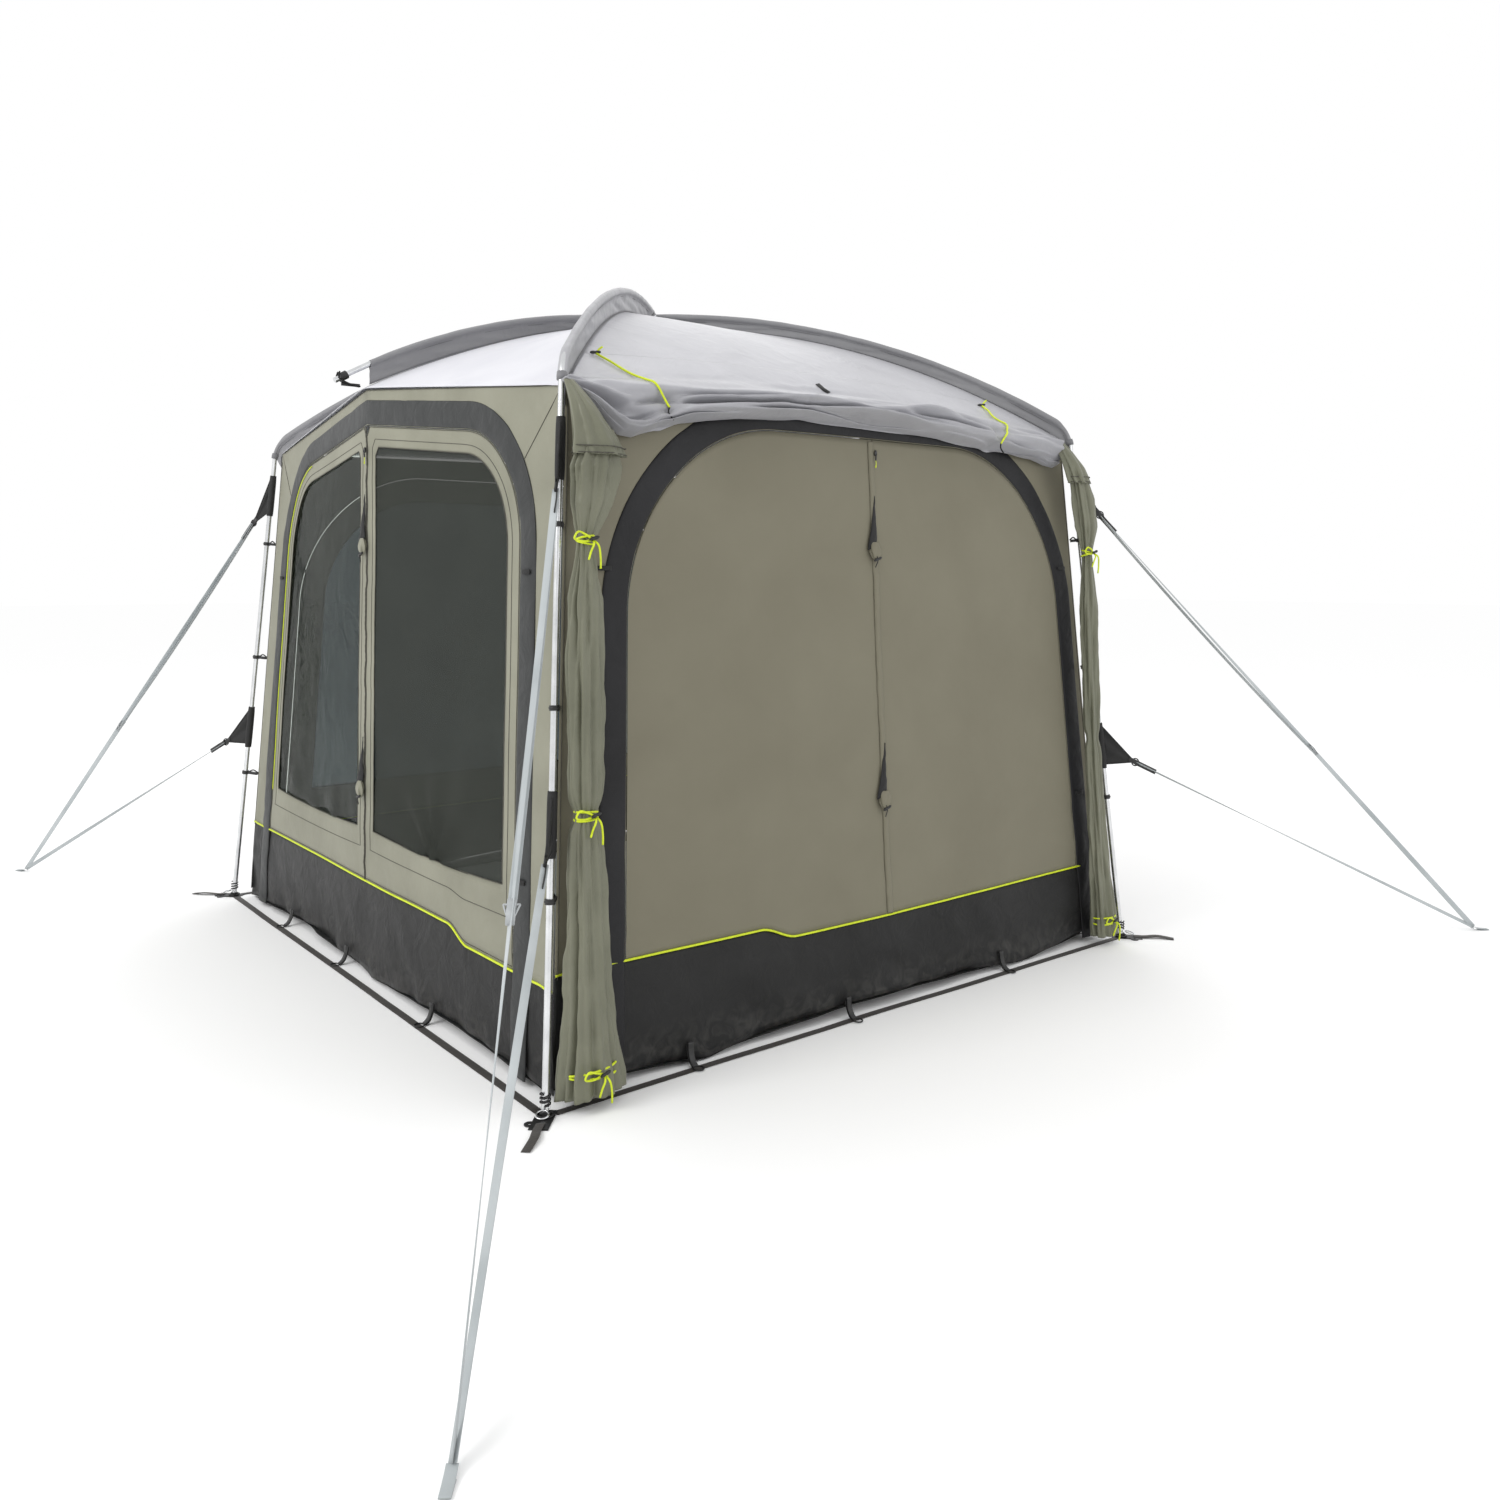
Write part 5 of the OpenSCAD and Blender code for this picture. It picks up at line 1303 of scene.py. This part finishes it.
def blind_wall_panel(wall):
    """The wall without a door: cloth border and tinted window inside the same arch."""
    def loop(inset, base):
        t = np.linspace(0, 1, 110)
        u, z = wall.arch(-inset, 0.4, t)
        foot = base(wall.half - inset + wall.shift) if callable(base) else base
        z = np.where(t <= ARCH_SIDE, lerp(float(foot), z[np.searchsorted(t, ARCH_SIDE)], t / ARCH_SIDE), z)
        arch = np.concatenate([np.stack([u, z], -1), np.stack([-u, z], -1)[::-1][1:]])
        bu = np.linspace(-wall.half + inset, wall.half - inset, 82)[1:-1]
        bz = base(bu + wall.shift) if callable(base) else np.full(80, base)
        return np.concatenate([arch, np.stack([bu, bz], -1)])
    outer = loop(LEAF_GAP, lambda u: wall.mud_top(u) + SEAM_GAP)
    inner = loop(0.110, SILL - 0.060)
    grid = ring_between(outer, inner, 10)
    grid_u, grid_z = grid[..., 0] + wall.shift, grid[..., 1]
    p = wall.point(grid_u, grid_z, CLOTH_OUT)
    cloth(wall.name + "_window_border", p.reshape(-1, 3), grid_faces(*grid_u.shape, wrap_rows=True), OLIVE,
          CLOTH_THICK, "olive_cloth", stands_for=["left_wall"], length=6.4)
    t = np.linspace(ARCH_SIDE, 1, 70)
    u, z = wall.arch(-0.106, 0.4, t)
    u, z = np.concatenate([u, -u[::-1][1:]]), np.concatenate([z, z[::-1][1:]])
    v = np.linspace(0, 1, 50)[None, :]
    cu = np.repeat(u[:, None], 50, 1) + wall.shift
    cz = lerp(SILL - 0.066, z[:, None], v)
    ripple = 0.003 * noise(cu * 2.2, cz * 1.6, seed=15)
    grid_cloth(wall.name + "_window_pane", wall, cu, cz, ripple, TINTED_FILM, FILM_THICK, "tinted_film",
               stands_for=["left_window"], length=1.4)
    stitching(wall, wall.name + "_window", outer, inner, 0.72)


def wall_seams(wall):
    """The roof seam along the wall's top, its corner seams, and the slanting seam by each corner."""
    u = np.linspace(-wall.ref + 0.004, wall.ref - 0.004, 120)
    lines = [wall.point(u, wall.seam_z(u) - 0.004, 0.0028)]
    for side in (-1, 1):
        z = np.linspace(0.31, 1.84, 80)
        lines.append(wall.point(np.full(80, side * (wall.ref - 0.010)), z, 0.0026))
        if wall.gable:
            k = np.linspace(0, 1, 30)
            lines.append(wall.point(side * lerp(wall.ref - 0.02, wall.ref - 0.20, k), lerp(1.865, 1.690, k),
                                    0.0026))
    piece(wall.name + "_seams", joined([tube_mesh(line, 0.0013, 5) for line in lines]), SEAM_DARK)


def lime_zip(wall):
    """The lime zip tape that shows along the curved edge of the left leaf."""
    u, z = wall.arch(-LEAF_GAP - 0.011, 0.330, np.linspace(0.05, 0.74, 120))
    piece(wall.name + "_lime_zip", tube_mesh(wall.point(-u + wall.shift, z, 0.0052), 0.0019, 6),
          LIME, wall.name + "_left_door")


def leg_hooks():
    """The elastic loop and hook that hold the cloth's corner to each clip."""
    parts = []
    for corner in CORNERS:
        out, _ = corner_directions(corner)
        for z in LEG_CLIPS:
            p = leg_point(corner, z + 0.007)
            reach = DIAGONAL - z * math.tan(LEAN) - lerp(HEM_S, EAVE_S, z / EAVE_Z)
            start, end = p - out * 0.012, p - out * (reach - 0.004)
            mid = lerp(start, end, 0.5) + (0, 0, 0.010)
            parts.append(tube_mesh(curve_through([start, mid, end], 16), 0.0026, 8))
            parts.append(ring_mesh(p, out * -math.sin(LEAN) + (0, 0, 1), 0.0128, 0.0030))
    piece("leg_clip_hooks", joined(parts), BLACK_PLASTIC)


def ridge_elastics():
    """The elastic loop at each end of the ridge pole."""
    for sign in (-1, 1):
        tip = np.array([0, sign * 1.262, 2.040])
        peak = np.array([0, sign * (GABLE_MID + 0.024), PEAK_Z + 0.006])
        middle = lerp(tip, peak, 0.5)
        parts = [tube_mesh(curve_through([
            tip + (side * 0.008, 0, 0.010), tip + (side * 0.011, sign * 0.004, -0.006),
            middle + (side * 0.006, 0, -0.012), peak + (side * 0.004, 0, 0)], 24), 0.0030, 8)
            for side in (1, -1)]
        piece("ridge_elastic_" + ("front" if sign < 0 else "back"), joined(parts),
              BLACK_CLOTH)


def finish_nodes():
    """Materials for the CAD solids that stay in sight, and softened edges on the plastic ones."""
    poles = ["leg_" + corner for corner in CORNERS] + ["roof_pole_upper", "roof_pole_lower", "ridge_pole"]
    fittings = ["foot_fittings", "pole_ties"]
    for node, material in [(n, STEEL) for n in poles] + [(n, BLACK_PLASTIC) for n in fittings]:
        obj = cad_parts[node]
        obj.data.materials.clear()
        obj.data.materials.append(material)
        if material is BLACK_PLASTIC:
            m = obj.modifiers.new("edges", "BEVEL")
            m.width, m.segments, m.limit_method = 0.0010, 2, "ANGLE"


# ---- camera, floor and lights ----
def camera():
    data = bpy.data.cameras.new("camera")
    data.lens, data.sensor_width, data.shift_y = 29.09, 36.0, -0.1187
    obj = bpy.data.objects.new("camera", data)
    obj.location = (4.06, -2.72, 1.36)
    obj.rotation_euler = (math.radians(90.2), 0, math.radians(51.5))
    scene.collection.objects.link(obj)
    scene.camera = obj


def studio():
    scene.view_settings.view_transform = "Standard"
    world = bpy.data.worlds.new("studio")
    world.use_nodes = True
    background = world.node_tree.nodes["Background"]
    background.inputs["Color"].default_value = (1, 1, 1, 1)
    background.inputs["Strength"].default_value = 1.0
    scene.world = world
    for name, place_at, target, power, size in (
            ("key", (0.8, -7.0, 5.0), (0, 0, 1.0), 190, 3.0),
            ("fill", (7.5, 2.5, 3.2), (0, 0, 1.0), 40, 3.0),
            ("top", (-1.5, 1.5, 7.0), (0, 0, 0), 40, 3.0),
            ("behind", (-5.5, 4.5, 4.5), (0, 0, 1.0), 60, 4.0)):
        light = bpy.data.lights.new(name, "AREA")
        light.energy, light.size = power, size
        obj = bpy.data.objects.new(name, light)
        obj.location = place_at
        obj.rotation_euler = (Vector(target) - Vector(place_at)).to_track_quat("-Z", "Y").to_euler()
        scene.collection.objects.link(obj)
    m, nodes, links = new_material("floor")
    skin = nodes.new("ShaderNodeBsdfDiffuse")
    socket(skin, "Color", (0.99, 0.99, 0.99, 1))
    surface(nodes, links, skin)
    far = 60
    floor = mesh_object("floor", [(-far, -far, 0), (far, -far, 0), (far, far, 0), (-far, far, 0)],
                        [(0, 1, 2, 3)], m)
    floor.location.z = -0.0005


camera()
studio()
guy_lines()
end_loops()
guy_patches()

front, right, back, left = (WALLS[k] for k in ("front", "right", "back", "left"))
for wall, material, slot in ((front, OLIVE, "olive_cloth"), (back, OLIVE, "olive_cloth"),
                             (left, OLIVE, "olive_cloth"), (right, TUNNEL_OLIVE, "dark_olive_cloth")):
    wall_cloth(wall, material, slot, [wall.name + "_wall"])
    door_band(wall, FRONT_CHARCOAL if wall is front else CHARCOAL)
    mud_wall(wall)
    wall_seams(wall)
    roof_panel(wall, ROOF_GREY if wall is right else ROOF_WHITE)
    for number, u in enumerate((-0.72, -0.15, 0.55)):
        hem_loop(wall, u, f"{wall.name}_hem_loop_{number + 1}")

for wall, films in ((front, ((CLEAR_FILM, "clear_film"), (MESH_CLOTH, "mesh"))),
                    (back, ((DARK_MESH, "mesh"), (DARK_MESH, "mesh")))):
    for side, which, (film, film_slot) in ((-1, "left", films[0]), (1, "right", films[1])):
        name = f"{wall.name}_{which}"
        bordered_leaf(wall, side, name, film, film_slot)
        zip_chain(wall, side, name + "_door")
    for number, z_top in enumerate((1.640, 0.812)):
        door_gusset(wall, z_top, -1, wall.name + "_left_door", OLIVE, number + 1, 0.066)
    zip_pull(wall, 1.790)
solid_leaf(right, -1, "right_near", TUNNEL_OLIVE)
solid_leaf(right, 1, "right_far", TUNNEL_OLIVE)
zip_chain(right, 1, "right_far_door")
zip_flap(right, -1, "right_near_door", TUNNEL_OLIVE, "dark_olive_cloth")
for number, z_top in enumerate((1.620, 0.825)):
    door_gusset(right, z_top, -1, "right_near_door", TUNNEL_OLIVE, number + 1)
zip_pull(right, 1.760)
blind_wall_panel(left)
lime_zip(front)
lime_zip(back)

for corner, top_z, open_s, node, pole, seed in (
        ("near", UPPER_POLE_Z, 0.004, "sleeve_upper", "roof_pole_upper", 41),
        ("far", UPPER_POLE_Z, 0.004, "sleeve_upper", "roof_pole_upper", 45),
        ("right", LOWER_POLE_Z, 0.024, "sleeve_lower", "roof_pole_lower", 51),
        ("left", LOWER_POLE_Z, 0.024, "sleeve_lower", "roof_pole_lower", 55)):
    diagonal_sleeve(corner, top_z, open_s, node, seed)
ridge_sleeve(-1, 61)
ridge_sleeve(1, 65)
tunnel_roof_roll()
bundles()
ground_strapping()
foot_details()
leg_hooks()
ridge_elastics()
for wall, places in ((front, ((1.080, 1.372), (1.080, 0.530), (-1.080, 1.353))),
                     (right, ((-1.000, 1.382), (-1.000, 0.522), (1.050, 1.390), (1.050, 0.552))),
                     (back, ((-1.080, 1.372), (1.080, 0.530))), (left, ((1.000, 1.382), (-0.980, 0.530)))):
    for number, (u, z) in enumerate(places):
        tab(wall, u, z, f"{wall.name}_tab_{number + 1}")
finish_nodes()
